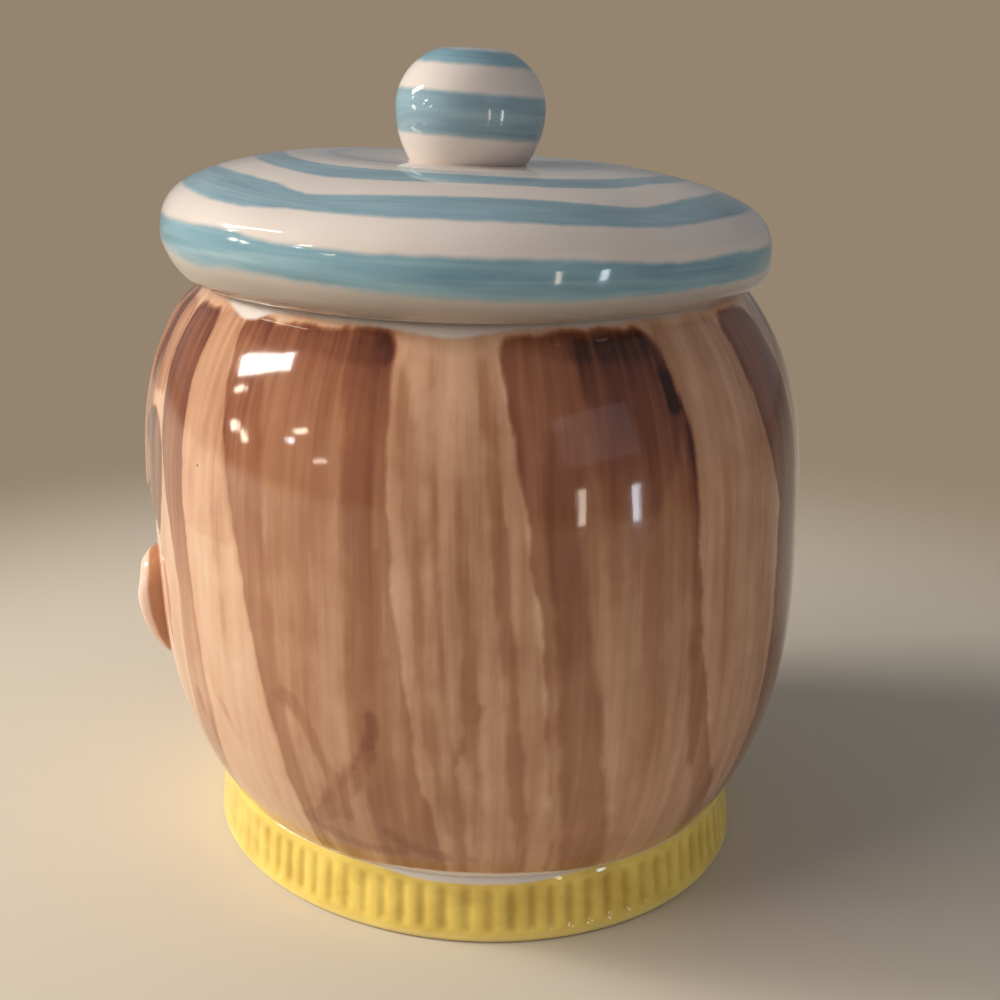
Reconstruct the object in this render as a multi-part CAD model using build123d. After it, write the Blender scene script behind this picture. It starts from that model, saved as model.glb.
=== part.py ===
"""A glazed earthenware biscuit jar in the form of a child's head with a soft striped cap for a lid.

Frame: millimetres, +Z up, origin at the centre of the flat base. The face looks along -Y and the
left ear is on +X. Every level plan of the head is an oval, deeper front to back than it is wide.
"""
import os
from math import cos, radians, sin

from build123d import *

# Head shell: half-widths are ear to ear, and DEPTH_RATIO turns them into front-to-back ones
DEPTH_RATIO = 1.18
WALL = 5.5
NECK_HALF_WIDTH = 80.5
BELLY_HALF_WIDTH = 98.4
BELLY_HEIGHT = 105.0
RIM_HALF_WIDTH = 79.3
RIM_HEIGHT = 174.0
RIM_ROUNDING = 1.6
FULLNESS = 3.1          # power of the bulge: 2 is a plain barrel, more is squarer
HEAD_STATIONS = 10

# Collar: the foot of the jar, with its floor
COLLAR_HEIGHT = 19.6
COLLAR_SPREAD = 1.9     # how much wider the foot is than the top of the collar
COLLAR_ROUNDING = 1.5
FLOOR = 6.0

# Ears, one on each side
EAR_HEIGHT = 37.0
EAR_DEPTH = 25.0
EAR_STANDOUT = 8.5
EAR_LEVEL = 73.5
EAR_FORWARD = 9.0
EAR_HOLLOW = 4.0        # depth of the dish inside the ear

# Nose and lips
NOSE_WIDTH = 19.0
NOSE_TALL = 22.0
NOSE_STANDOUT = 8.0
NOSE_LEVEL = 78.0
LIPS_WIDTH = 30.0
LIPS_TALL = 9.5
LIPS_STANDOUT = 2.6
LIPS_LEVEL = 55.0

# Front hair: flat-backed locks laid on the head
LOCK_RELIEF = 2.0
LOCK_TOP_GAP = 5.0      # how far under the rim the locks start
PARTING_HALF_WIDTH = 1.0
FRINGE_HALF_WIDTH = 44.0
FRINGE_SWEEP = 40.0     # how far the fringe falls from its top to its tips
FRINGE_FLARE = 6.0      # how far the tips stand outside the fringe's top
TEMPLE_LEVEL = 111.0    # where the temple locks end, above the ears
TEMPLE_TIP_INSET = 4.0  # how far inside the head's outline their tips lie, from the front
TEMPLE_HOLLOW = 14.0    # how high their lower edge arches behind the fringe

# Lid: a soft cap with a rolled brim
CAP_WALL = 5.0
BRIM_HALF_WIDTH = 90.1
BRIM_HEIGHT = 7.5       # widest level above the low side of the seat
CAP_HEIGHT = 30.8       # crown above the low side of the seat
CAP_FULLNESS = 2.88
CAP_TOP_ANGLE = 80.0    # where the crown's curve gives way to the flat under the knob
CAP_LEAN = 2.3          # the casting leans this far down towards -X, in degrees
CAP_SHIFT = 1.3         # and stands this far towards +X
CROWN_SPANS = 4

# Locating ring under the lid, and its play in the mouth
RING_DEPTH = 8.0
RING_WALL = 4.0
RING_PLAY = 1.2

# Knob: a ball with a flattened top, cast hollow
KNOB_HALF_WIDTH = 22.4
KNOB_HALF_TALL = 19.0
KNOB_CUT = 5.6          # cut off below, where the ball meets the crown
KNOB_WALL = 5.0
DRAIN_HALF_WIDTH = 5.0


def half_width(height, outward=0.0):
    """Ear-to-ear half-width of the head at a height, widest at the belly."""
    if height < BELLY_HEIGHT:
        away = (BELLY_HEIGHT - height) / (BELLY_HEIGHT - COLLAR_HEIGHT)
        end = NECK_HALF_WIDTH
    else:
        away = (height - BELLY_HEIGHT) / (RIM_HEIGHT - BELLY_HEIGHT)
        end = RIM_HALF_WIDTH
    return end + (BELLY_HALF_WIDTH - end) * (1 - away**FULLNESS) + outward


def half_depth(height, outward=0.0):
    """Front-to-back half-width of the head at a height."""
    return half_width(height) * DEPTH_RATIO + outward


def head_form(outward=0.0):
    """The head's outer form, grown or shrunk by a distance, from the collar to the rim."""
    span = RIM_HEIGHT - COLLAR_HEIGHT
    heights = [COLLAR_HEIGHT + span * i / HEAD_STATIONS for i in range(HEAD_STATIONS + 1)]
    plans = [
        Plane.XY.offset(z) * Ellipse(half_width(z, outward), half_depth(z, outward)) for z in heights
    ]
    return loft(plans)


def oval_block(half, low, high, outward=0.0):
    """An upright oval block of the head's plan shape."""
    plan = Ellipse(half + outward, half * DEPTH_RATIO + outward)
    return Plane.XY.offset(low) * extrude(plan, amount=high - low)


def head_shell():
    """The hollow head, open at the neck and at the mouth, with a rounded rim."""
    shell = head_form() - head_form(-WALL)
    rim_edges = shell.edges().filter_by_position(Axis.Z, RIM_HEIGHT, RIM_HEIGHT)
    return fillet(rim_edges, RIM_ROUNDING)


def neck_collar():
    """The spreading collar that the head stands on, closed below by the jar's floor."""
    foot = Ellipse(NECK_HALF_WIDTH + COLLAR_SPREAD, NECK_HALF_WIDTH * DEPTH_RATIO + COLLAR_SPREAD)
    top = Plane.XY.offset(COLLAR_HEIGHT) * Ellipse(NECK_HALF_WIDTH, NECK_HALF_WIDTH * DEPTH_RATIO)
    collar = loft([foot, top])
    collar = fillet(collar.edges(), COLLAR_ROUNDING)
    return collar - oval_block(NECK_HALF_WIDTH, FLOOR, COLLAR_HEIGHT, -WALL)


def swelling(width, depth, tall, place):
    """An egg-shaped swelling of the given full sizes, centred at a place."""
    ball = scale(Sphere(1), by=(width / 2, depth / 2, tall / 2))
    return Pos(*place) * ball


def ear(side):
    """One ear, dished on the side that faces forwards and cut to the head; side is +1 or -1."""
    root = half_width(EAR_LEVEL)
    place = (side * root, -EAR_FORWARD, EAR_LEVEL)
    body = swelling(2 * EAR_STANDOUT, EAR_DEPTH, EAR_HEIGHT, place)
    rim = EAR_HOLLOW / 2
    dish_place = (side * (root + rim), -EAR_FORWARD - EAR_DEPTH / 2, EAR_LEVEL)
    dish_width = 2 * (EAR_STANDOUT - 2 * rim)
    dish = swelling(dish_width, 2 * EAR_HOLLOW, EAR_HEIGHT - 4 * EAR_HOLLOW, dish_place)
    return body - dish - head_form()


def face_relief(width, tall, standout, level):
    """A swelling on the middle of the face that stands out by the given distance."""
    place = (0, -half_depth(level), level)
    return swelling(width, 2 * standout, tall, place) - head_form()


def lock(outline):
    """A lock of front hair: an outline seen from the front, laid on the head at LOCK_RELIEF."""
    reach = half_depth(BELLY_HEIGHT, LOCK_RELIEF)
    slab = extrude(Plane.XZ * make_face(outline), amount=reach)
    return (slab & head_form(LOCK_RELIEF)) - head_form()


def fringe_lock(side):
    """The lock that sweeps from the parting over the forehead to one side."""
    top = RIM_HEIGHT - LOCK_TOP_GAP
    inner = PARTING_HALF_WIDTH
    outer = FRINGE_HALF_WIDTH
    start = (side * inner, top - FRINGE_SWEEP / 4)
    bend = (side * (inner + outer) / 2, top - FRINGE_SWEEP / 2)
    tip = (side * (outer + FRINGE_FLARE), top - FRINGE_SWEEP)
    lower = Spline(start, bend, tip)
    rest = Polyline(tip, (side * outer, top), (side * inner, top), start)
    return lock(lower + rest)


def temple_lock(side):
    """The lock that falls from the cap past the temple and ends in a point above the ear."""
    top = RIM_HEIGHT - LOCK_TOP_GAP
    inner = FRINGE_HALF_WIDTH + 2 * PARTING_HALF_WIDTH
    outer = half_width(TEMPLE_LEVEL) - TEMPLE_TIP_INSET
    front_tip = (side * (inner + FRINGE_FLARE), top - FRINGE_SWEEP)
    tip = (side * outer, TEMPLE_LEVEL)
    beyond = side * (half_width(BELLY_HEIGHT) + 2 * LOCK_RELIEF)
    front = Polyline((side * inner, top), front_tip)
    lower = Spline(front_tip, ((front_tip[0] + tip[0]) / 2, TEMPLE_LEVEL + TEMPLE_HOLLOW), tip)
    back = Polyline(tip, (beyond, TEMPLE_LEVEL + TEMPLE_HOLLOW / 2), (beyond, top), (side * inner, top))
    return lock(front + lower + back)


def crown_curve(inward):
    """The crown's meridian, a squared-off quarter oval from the brim up to the flat top."""
    turns = [radians(CAP_TOP_ANGLE) * i / CROWN_SPANS for i in range(CROWN_SPANS + 1)]
    power = 2 / CAP_FULLNESS
    half = BRIM_HALF_WIDTH - inward
    tall = CAP_HEIGHT - BRIM_HEIGHT - inward
    points = [(half * cos(t) ** power, BRIM_HEIGHT + tall * sin(t) ** power) for t in turns]
    return Spline(*points, tangents=[(0, 1), (-1, 0)])


def brim_curve(foot, inward):
    """The underside's meridian, a quarter oval from the foot of half-width foot out to the brim."""
    bulge = BRIM_HALF_WIDTH - inward - foot
    return EllipticalCenterArc((foot, BRIM_HEIGHT), bulge, BRIM_HEIGHT - inward, -90, arc_size=90)


def cap_turning():
    """The cap turned round and hollow, with its drain and a foot to cut off, then made oval."""
    foot = RIM_HALF_WIDTH
    mouth = ring_half_width() - RING_WALL
    outer = crown_curve(0)
    inner = crown_curve(CAP_WALL)
    drain_top = (DRAIN_HALF_WIDTH, (outer @ 1).Y)
    drain_end = (DRAIN_HALF_WIDTH, (inner @ 1).Y)
    drain = Polyline(outer @ 1, drain_top, drain_end, inner @ 1)
    skirt = -lean_drop()
    neck = Polyline((foot, 0), (foot, skirt), (mouth, skirt), (mouth, CAP_WALL))
    under = brim_curve(foot, 0) + brim_curve(mouth, CAP_WALL)
    wall = make_face(Plane.XZ * (outer + inner + drain + neck + under))
    return scale(revolve(wall, Axis.Z), by=(1, DEPTH_RATIO, 1))


def lean_drop():
    """How far the lean lowers one side of the seat against the other."""
    return 2 * RIM_HALF_WIDTH * sin(radians(CAP_LEAN))


def leaning():
    """The place of the cap's casting: it leans up on the +X side, about the -X edge of the seat."""
    edge = (-RIM_HALF_WIDTH, 0, RIM_HEIGHT)
    return Pos(*edge) * Rot(0, -CAP_LEAN, 0) * Pos(RIM_HALF_WIDTH + CAP_SHIFT, 0, 0)


def cap_shell():
    """The hollow cap, leaning a little, and cut flat below where it rests on the jar's rim."""
    seat = Plane.XY.offset(RIM_HEIGHT)
    return split(leaning() * cap_turning(), bisect_by=seat, keep=Keep.TOP)


def knob_seat():
    """The middle of the crown's flat top, where the knob is stuck on."""
    return leaning() * Pos(0, 0, (crown_curve(0) @ 1).Y)


def ball(inward):
    """The knob's form, or its hollow where inward is the wall: an egg cut off flat below."""
    half = KNOB_HALF_WIDTH - inward
    tall = KNOB_HALF_TALL - inward
    middle = KNOB_HALF_TALL - KNOB_CUT
    egg = Pos(0, 0, middle) * scale(Sphere(1), by=(half, half, tall))
    return split(egg, bisect_by=Plane.XY.offset(inward), keep=Keep.TOP)


def knob():
    """The hollow knob on the crown of the cap, with a drain hole through its foot."""
    drain = Cylinder(DRAIN_HALF_WIDTH, 2 * KNOB_WALL + CAP_WALL)
    return knob_seat() * (ball(0) - ball(KNOB_WALL) - drain)


def ring_half_width():
    """Half-width of the locating ring, the mouth's less the play."""
    return RIM_HALF_WIDTH - WALL - RING_PLAY


def locating_ring():
    """The oval ring under the lid that keeps it in the mouth."""
    low = RIM_HEIGHT - RING_DEPTH
    outward = ring_half_width() - RIM_HALF_WIDTH
    outer = oval_block(RIM_HALF_WIDTH, low, RIM_HEIGHT, outward)
    return outer - oval_block(RIM_HALF_WIDTH, low, RIM_HEIGHT, outward - RING_WALL)


NODES = {
    "head_shell": head_shell,
    "neck_collar": neck_collar,
    "ear_left": lambda: ear(1),
    "ear_right": lambda: ear(-1),
    "nose": lambda: face_relief(NOSE_WIDTH, NOSE_TALL, NOSE_STANDOUT, NOSE_LEVEL),
    "lips": lambda: face_relief(LIPS_WIDTH, LIPS_TALL, LIPS_STANDOUT, LIPS_LEVEL),
    "fringe_left": lambda: fringe_lock(1),
    "fringe_right": lambda: fringe_lock(-1),
    "temple_lock_left": lambda: temple_lock(1),
    "temple_lock_right": lambda: temple_lock(-1),
    "cap_shell": cap_shell,
    "locating_ring": locating_ring,
    "knob": knob,
}

os.makedirs("parts", exist_ok=True)
for name, make in NODES.items():
    export_step(make(), f"parts/{name}.step")
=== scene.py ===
"""The looks of a glazed earthenware biscuit jar: a child's head with a soft striped cap for a lid.

Frame: metres, +Z up, origin at the centre of the flat base. The face looks along -Y and the left
ear is on +X. The classes hold their sizes in millimetres and degrees, as a potter would write
them, and the studio's are in metres. A bearing goes round the jar from the left ear (0) by the
back of the head (90) to the right ear (180), and the face is at -90, which is also 270.
"""
import logging
from dataclasses import dataclass
from enum import Enum
from math import cos, radians, sin

import bpy
import numpy as np
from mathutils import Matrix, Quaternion, Vector
from numpy.typing import NDArray


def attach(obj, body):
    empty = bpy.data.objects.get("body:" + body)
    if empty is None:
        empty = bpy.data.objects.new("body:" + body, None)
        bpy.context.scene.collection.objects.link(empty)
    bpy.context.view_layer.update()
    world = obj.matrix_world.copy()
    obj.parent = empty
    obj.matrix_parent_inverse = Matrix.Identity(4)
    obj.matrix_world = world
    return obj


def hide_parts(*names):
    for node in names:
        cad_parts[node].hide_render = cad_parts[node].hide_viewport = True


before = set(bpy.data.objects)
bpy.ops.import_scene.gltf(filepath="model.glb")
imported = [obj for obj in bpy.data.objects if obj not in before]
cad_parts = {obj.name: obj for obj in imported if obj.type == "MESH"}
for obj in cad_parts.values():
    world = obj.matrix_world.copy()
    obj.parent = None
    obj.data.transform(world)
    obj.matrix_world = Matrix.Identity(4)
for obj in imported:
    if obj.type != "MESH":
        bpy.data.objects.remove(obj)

Array = NDArray[np.float64]
Piece = bpy.types.Object
Socket = bpy.types.NodeSocket
Tree = bpy.types.NodeTree
Layer = tuple[Array | float, ...]       # paint: millimetres inside its outline, its tone and the like

log = logging.getLogger("biscuit_jar")

MM = 0.001
DEPTH_RATIO = 1.18      # every level plan of the jar is an oval, this much deeper than wide
RIM_HEIGHT = 174.0      # where the lid rests
COLLAR_HEIGHT = 19.6    # where the head stands on its collar
NECK_HALF = 80.5
RIM_HALF = 79.3
WALL = 5.5
RING_PLAY = 1.2
RING_WALL = 4.0
FACE = 270.0            # bearing of the middle of the face
FAR_OUTSIDE = -9.0      # the inside distance that stands for a place that no outline holds


class Body(Enum):
    """The two loose bodies of the jar."""

    JAR = "jar"
    LID = "lid"


class Slot(Enum):
    """The record's material slots."""

    HAIR = "hair_glaze"
    COLLAR = "collar_glaze"
    SKIN = "skin_glaze"
    CAP = "cap_glaze"


# ---------------------------------------------------------------- forms and distances


def smooth(values: Array, low: float, high: float) -> Array:
    """Rises from 0 at low to 1 at high along 3s^2 - 2s^3, or falls where low is the greater.

    Args:
        values: where to work it out.
        low: value that gives 0.
        high: value that gives 1.

    Returns:
        Shares from 0 to 1.
    """
    share = np.clip((values - low) / (high - low), 0, 1)
    return share * share * (3 - 2 * share)


def bell(values: Array, middle: float, reach: float, power: float = 2) -> Array:
    """A soft bump of height 1: e to the -(((values - middle) / reach)^power)."""
    return np.exp(-(((values - middle) / reach) ** power))


def patch(across: Array, level: Array, middle: tuple[float, float], reach: tuple[float, float]) -> Array:
    """A soft oval patch of height 1: e to the -(a^2 + b^2), with a and b in shares of its reach.

    Args:
        across: sideways places.
        level: heights.
        middle: the patch's middle.
        reach: how far it reaches, sideways and up.

    Returns:
        Shares from 0 to 1.
    """
    sideways = (across - middle[0]) / reach[0]
    upwards = (level - middle[1]) / reach[1]
    return np.exp(-(sideways**2) - upwards**2)


def running_share(density: Array) -> Array:
    """The running sum of a density, from 0 at its first place to 1 at its last."""
    running = np.cumsum(density)
    return (running - running[0]) / (running[-1] - running[0])


def bearings(columns: int) -> Array:
    """Even bearings once round the jar, from the middle of the face."""
    return np.linspace(FACE - 360, FACE, columns, endpoint=False)


def neck_line(turn: Array) -> Array:
    """Where the collar's bare cream line widens, at the back of the neck, as shares from 0 to 1."""
    return bell(turn, 73, 17, 4)


def both_layers(upper: Layer, lower: Layer) -> Layer:
    """Two layers of paint as one: each place takes the layer that it lies further inside.

    Args:
        upper: inside distances, then what goes with them.
        lower: the same for the other layer, which holds where both distances are equal.

    Returns:
        The joined layer.
    """
    further = upper[0] > lower[0]
    return tuple(np.where(further, above, below) for above, below in zip(upper, lower))


def meet(first: Array, second: Array, rounding: float) -> Array:
    """The lesser of two distances, less h^2 r/4 near the corner, where h falls from 1 to 0 over r.

    Args:
        first: inside distances of one outline.
        second: inside distances of another.
        rounding: how far from the corner the rounding reaches.

    Returns:
        Inside distances of the part that both outlines hold.
    """
    near = np.maximum(rounding - np.abs(first - second), 0) / rounding
    return np.minimum(first, second) - near * near * rounding / 4


def wander(turn: Array, seed: int, waves: tuple[int, ...] = (1, 2, 3, 5, 8)) -> Array:
    """A closed unevenness round the jar: a sum of cosines of whole waves with seeded phases.

    Args:
        turn: angles round the jar, in degrees.
        seed: seed of the phases.
        waves: whole numbers of waves in one turn.

    Returns:
        Values within about -1 and 1.
    """
    phases = np.random.default_rng(seed).uniform(0, 2 * np.pi, len(waves))
    counts = np.array(waves, float)
    angles = np.radians(turn)[..., None] * counts + phases
    return (np.cos(angles) / np.sqrt(counts)).sum(-1) / np.sqrt(1 / counts).sum()


def rounded_corner(centre: tuple[float, float], radius: float, start: float, count: int = 5) -> Array:
    """A quarter turn of a section's path: centre plus radius times the cosine and sine.

    Args:
        centre: offset and height of the corner's centre.
        radius: radius of the rounding.
        start: angle of its first point; the last is 90 degrees further round.
        count: number of points.

    Returns:
        Points, one row each, as offset and height.
    """
    angles = np.radians(np.linspace(start, start + 90, count))
    return np.stack([centre[0] + radius * np.cos(angles), centre[1] + radius * np.sin(angles)], -1)


def pulled_line(across: Array, level: Array, route: tuple[tuple[float, float], ...]) -> Array:
    """Distance to a short line pulled with a fine brush: a quadratic curve through three points.

    The curve is start (1-s)^2 + 2 handle s(1-s) + end s^2, with the handle placed so that the
    curve passes through the middle point, and the distance is the least to 48 points on it.

    Args:
        across: sideways places of the vertices.
        level: heights of the vertices.
        route: the line's start, middle and end.

    Returns:
        Distances in the units of the places.
    """
    start, middle, end = (np.array(point, float) for point in route)
    handle = 2 * middle - (start + end) / 2
    share = np.linspace(0, 1, 48)[:, None]
    curve = start * (1 - share) ** 2 + 2 * handle * share * (1 - share) + end * share**2
    gaps = np.hypot(across[..., None] - curve[:, 0], level[..., None] - curve[:, 1])
    return gaps.min(-1)


def oval_plan(half: Array, turn: Array, outward: Array | float = 0.0) -> tuple[Array, Array]:
    """Places on an oval level plan: half-width times the cosine, and half-depth times the sine.

    Args:
        half: ear-to-ear half-widths before the offset.
        turn: bearings in degrees.
        outward: offset outwards from the oval.

    Returns:
        The X and Y places.
    """
    angle = np.radians(turn)
    return (half + outward) * np.cos(angle), (half * DEPTH_RATIO + outward) * np.sin(angle)


# ---------------------------------------------------------------- meshes


def grid_piece(
    name: str,
    points: Array,
    closed_section: bool = False,
    start_pole: tuple[float, float, float] | None = None,
    end_pole: tuple[float, float, float] | None = None,
) -> Piece:
    """Makes a smooth mesh object from a grid of points whose columns go round and close.

    Square (i, j) joins points (i, j), (i, j+1), (i+1, j+1) and (i+1, j), so a face looks along
    the direction of its columns crossed with the direction of its rows.

    Args:
        name: name of the piece.
        points: places in millimetres, rows by columns by 3.
        closed_section: whether the last row joins the first.
        start_pole: a single point that closes the first row.
        end_pole: a single point that closes the last row.

    Returns:
        The new object, at the origin.
    """
    rows, columns = points.shape[:2]
    index = np.arange(rows * columns).reshape(rows, columns)
    if closed_section:
        index = np.vstack([index, index[:1]])
    following = np.roll(index, -1, axis=1)
    squares = np.stack([index[:-1], following[:-1], following[1:], index[1:]], -1).reshape(-1, 4)
    places = points.reshape(-1, 3)
    faces = squares.tolist()
    if start_pole is not None:
        tip = np.full(columns, len(places))
        places = np.vstack([places, start_pole])
        faces += np.stack([tip, following[0], index[0]], -1).tolist()
    if end_pole is not None:
        tip = np.full(columns, len(places))
        places = np.vstack([places, end_pole])
        faces += np.stack([index[-1], following[-1], tip], -1).tolist()
    mesh = bpy.data.meshes.new(name)
    mesh.from_pydata(places * MM, [], faces)
    mesh.shade_smooth()
    piece = bpy.data.objects.new(name, mesh)
    bpy.context.scene.collection.objects.link(piece)
    return piece


def store(piece: Piece, name: str, *channels: Array) -> None:
    """Keeps one number, or three, for each vertex, as a named attribute that a finish reads.

    Poles come last in the mesh and take the value of the last vertex of the grid.

    Args:
        piece: the object.
        name: name of the attribute.
        channels: one array, or three, of the grid's shape.
    """
    count = len(piece.data.vertices)
    columns = [np.ravel(channel) for channel in channels]
    columns = [np.pad(column, (0, count - len(column)), mode="edge") for column in columns]
    if len(columns) == 1:
        attribute = piece.data.attributes.new(name, "FLOAT", "POINT")
        attribute.data.foreach_set("value", columns[0])
    else:
        attribute = piece.data.attributes.new(name, "FLOAT_VECTOR", "POINT")
        attribute.data.foreach_set("vector", np.stack(columns, -1).ravel())


def dress(piece: Piece, material: bpy.types.Material, body: Body, slot: Slot, *nodes: str) -> None:
    """Gives a piece its finish, sets it on its body and lets it stand for its CAD nodes.

    Args:
        piece: the object.
        material: its finish.
        body: the body it rides on.
        slot: the record's slot that its finish belongs to; not used.
        nodes: names of the CAD nodes it stands for.
    """
    piece.data.materials.append(material)
    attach(piece, body.value)
    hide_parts(*nodes)
    log.info("%s: %d faces, %s, on %s", piece.name, len(piece.data.polygons), material.name, body.value)


# ---------------------------------------------------------------- finishes


def linear(code: str) -> tuple[float, float, float, float]:
    """Turns an sRGB hex value such as d8ccc0 into linear red, green and blue with alpha 1.

    Args:
        code: six hex digits.

    Returns:
        Red, green, blue and alpha.
    """
    parts = [int(code[i : i + 2], 16) / 255 for i in (0, 2, 4)]
    red, green, blue = (p / 12.92 if p <= 0.04045 else ((p + 0.055) / 1.055) ** 2.4 for p in parts)
    return red, green, blue, 1.0


def add_node(tree: Tree, kind: str, inputs: dict | None = None, **settings: object) -> bpy.types.Node:
    """Adds a shader node with its settings, constants and links.

    Args:
        tree: the node tree.
        kind: the node's type name.
        inputs: for each input's name or number, the socket to link or the constant to set.
        settings: properties of the node itself.

    Returns:
        The node.
    """
    node = tree.nodes.new(kind)
    for name, value in settings.items():
        setattr(node, name, value)
    for key, value in (inputs or {}).items():
        if isinstance(value, bpy.types.NodeSocket):
            tree.links.new(value, node.inputs[key])
        else:
            node.inputs[key].default_value = value
    return node


def empty_tree(owner: bpy.types.Material | bpy.types.World) -> Tree:
    """Gives a material or the world an empty node tree.

    Args:
        owner: the material or the world.

    Returns:
        The node tree.
    """
    owner.use_nodes = True
    owner.node_tree.nodes.clear()
    return owner.node_tree


def channels(tree: Tree, name: str) -> list[Socket]:
    """The three numbers of a stored attribute, as separate sockets."""
    stored = add_node(tree, "ShaderNodeAttribute", attribute_name=name)
    return list(add_node(tree, "ShaderNodeSeparateXYZ", {0: stored.outputs["Vector"]}).outputs)


def edge(tree: Tree, distance: Socket, softness: float) -> Socket:
    """A mask that rises from 0 to 1 across an outline.

    Args:
        tree: the node tree.
        distance: millimetres inside the outline.
        softness: half the width of the edge, in millimetres.

    Returns:
        The mask's socket.
    """
    bounds = {"Value": distance, "From Min": -softness, "From Max": softness}
    return add_node(tree, "ShaderNodeMapRange", bounds, interpolation_type="SMOOTHSTEP").outputs[0]


def painted_over(tree: Tree, below: Socket | str, above: Socket | str, mask: Socket | float) -> Socket:
    """Lays one colour over another through a mask.

    Args:
        tree: the node tree.
        below: colour underneath, a socket or a hex value.
        above: colour on top, a socket or a hex value.
        mask: how much of the upper colour shows.

    Returns:
        The mixed colour's socket.
    """
    pair = [linear(colour) if isinstance(colour, str) else colour for colour in (below, above)]
    inputs = {"Factor": mask, 6: pair[0], 7: pair[1]}
    return add_node(tree, "ShaderNodeMix", inputs, data_type="RGBA").outputs[2]


def grain(tree: Tree, place: Socket, pitch: tuple[float, float, float], detail: float = 2.0) -> Socket:
    """Noise on a place in millimetres, with its own pitch along each axis.

    Args:
        tree: the node tree.
        place: the place to read, in millimetres.
        pitch: size of the grain along X, Y and Z, in millimetres.
        detail: number of finer octaves.

    Returns:
        The noise's socket, about 0.5 on average.
    """
    share = tuple(1 / p for p in pitch)
    scaled = add_node(tree, "ShaderNodeVectorMath", {0: place, 1: share}, operation="MULTIPLY")
    noise = {"Vector": scaled.outputs[0], "Scale": 1.0, "Detail": detail, "Roughness": 0.55}
    return add_node(tree, "ShaderNodeTexNoise", noise).outputs["Fac"]


def object_place(tree: Tree) -> Socket:
    """The place on the object, in millimetres.

    Args:
        tree: the node tree.

    Returns:
        The place's socket.
    """
    metres = add_node(tree, "ShaderNodeTexCoord").outputs["Object"]
    scale = (1 / MM,) * 3
    return add_node(tree, "ShaderNodeVectorMath", {0: metres, 1: scale}, operation="MULTIPLY").outputs[0]


@dataclass(frozen=True)
class ClearGlaze:
    """Clear gloss glaze, dipped and fired over the paint on cream earthenware.

    The glaze is thick and level, so it gives the eye a hard, bright, slightly wavy reflection
    over soft colour, with a few dark pinholes and specks of iron from the clay.
    """

    roughness: float = 0.055
    roughness_spread: float = 0.05
    roughness_pitch: float = 9.0
    ior: float = 1.52
    wave_pitch: float = 17.0        # the glaze levels out over about this distance
    wave_height: float = 0.12
    speck_pitch: float = 21.0       # clay specks are this far apart
    speck_radius: float = 0.42
    speck_softness: float = 0.18
    speck_share: float = 0.35       # share of the places that hold a speck
    speck_colour: str = "6b5136"

    def cover(self, tree: Tree, colour: Socket, relief: Socket | None = None) -> None:
        """Ends a material with the glaze.

        Args:
            tree: the node tree.
            colour: colour of the painted body.
            relief: height of the paint's relief, in millimetres, if it has any.
        """
        place = object_place(tree)
        cells = {"Vector": place, "Scale": 1 / self.speck_pitch}
        speck = add_node(tree, "ShaderNodeTexVoronoi", cells).outputs
        spread = {0: speck["Distance"], 1: self.speck_pitch}
        gap = add_node(tree, "ShaderNodeMath", spread, operation="MULTIPLY").outputs[0]
        inside = add_node(tree, "ShaderNodeMath", {0: self.speck_radius, 1: gap}, operation="SUBTRACT")
        drawn = {0: speck["Color"], 1: self.speck_share}
        chosen = add_node(tree, "ShaderNodeMath", drawn, operation="LESS_THAN").outputs[0]
        mask = edge(tree, inside.outputs[0], self.speck_softness)
        spot = add_node(tree, "ShaderNodeMath", {0: mask, 1: chosen}, operation="MULTIPLY").outputs[0]
        colour = painted_over(tree, colour, self.speck_colour, spot)

        wave = grain(tree, place, (self.wave_pitch,) * 3, 1.0)
        waved = {0: wave, 1: self.wave_height}
        height = add_node(tree, "ShaderNodeMath", waved, operation="MULTIPLY").outputs[0]
        if relief is not None:
            height = add_node(tree, "ShaderNodeMath", {0: height, 1: relief}).outputs[0]
        bump = add_node(tree, "ShaderNodeBump", {"Height": height, "Strength": 1.0, "Distance": MM})
        uneven = {
            "Value": grain(tree, place, (self.roughness_pitch,) * 3, 3.0),
            "To Min": self.roughness,
            "To Max": self.roughness + self.roughness_spread,
        }
        gloss = add_node(tree, "ShaderNodeMapRange", uneven)
        shader = {
            "Base Color": colour,
            "Roughness": gloss.outputs[0],
            "IOR": self.ior,
            "Normal": bump.outputs[0],
        }
        body = add_node(tree, "ShaderNodeBsdfPrincipled", shader)
        add_node(tree, "ShaderNodeOutputMaterial", {"Surface": body.outputs[0]})


@dataclass(frozen=True)
class Finish:
    """A painted and glazed earthenware finish."""

    name: str
    cream: str = "e6dcd5"           # the clay under clear glaze, where there is no paint
    pooled: str = "d6cac0"          # where the clear glaze has pooled
    pool_pitch: float = 26.0
    glaze: ClearGlaze = ClearGlaze()

    def material(self) -> bpy.types.Material:
        """Makes the material: the paint first, then the clear glaze over it.

        Returns:
            The material.
        """
        material = bpy.data.materials.new(self.name)
        tree = empty_tree(material)
        self.glaze.cover(tree, *self.paint(tree))
        return material

    def paint(self, tree: Tree) -> tuple[Socket, Socket | None]:
        """Plain cream glaze that pools a little.

        Args:
            tree: the node tree.

        Returns:
            The colour's socket, and the paint's relief in millimetres if it has any.
        """
        pool = grain(tree, object_place(tree), (self.pool_pitch,) * 3)
        return painted_over(tree, self.cream, self.pooled, pool), None


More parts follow.
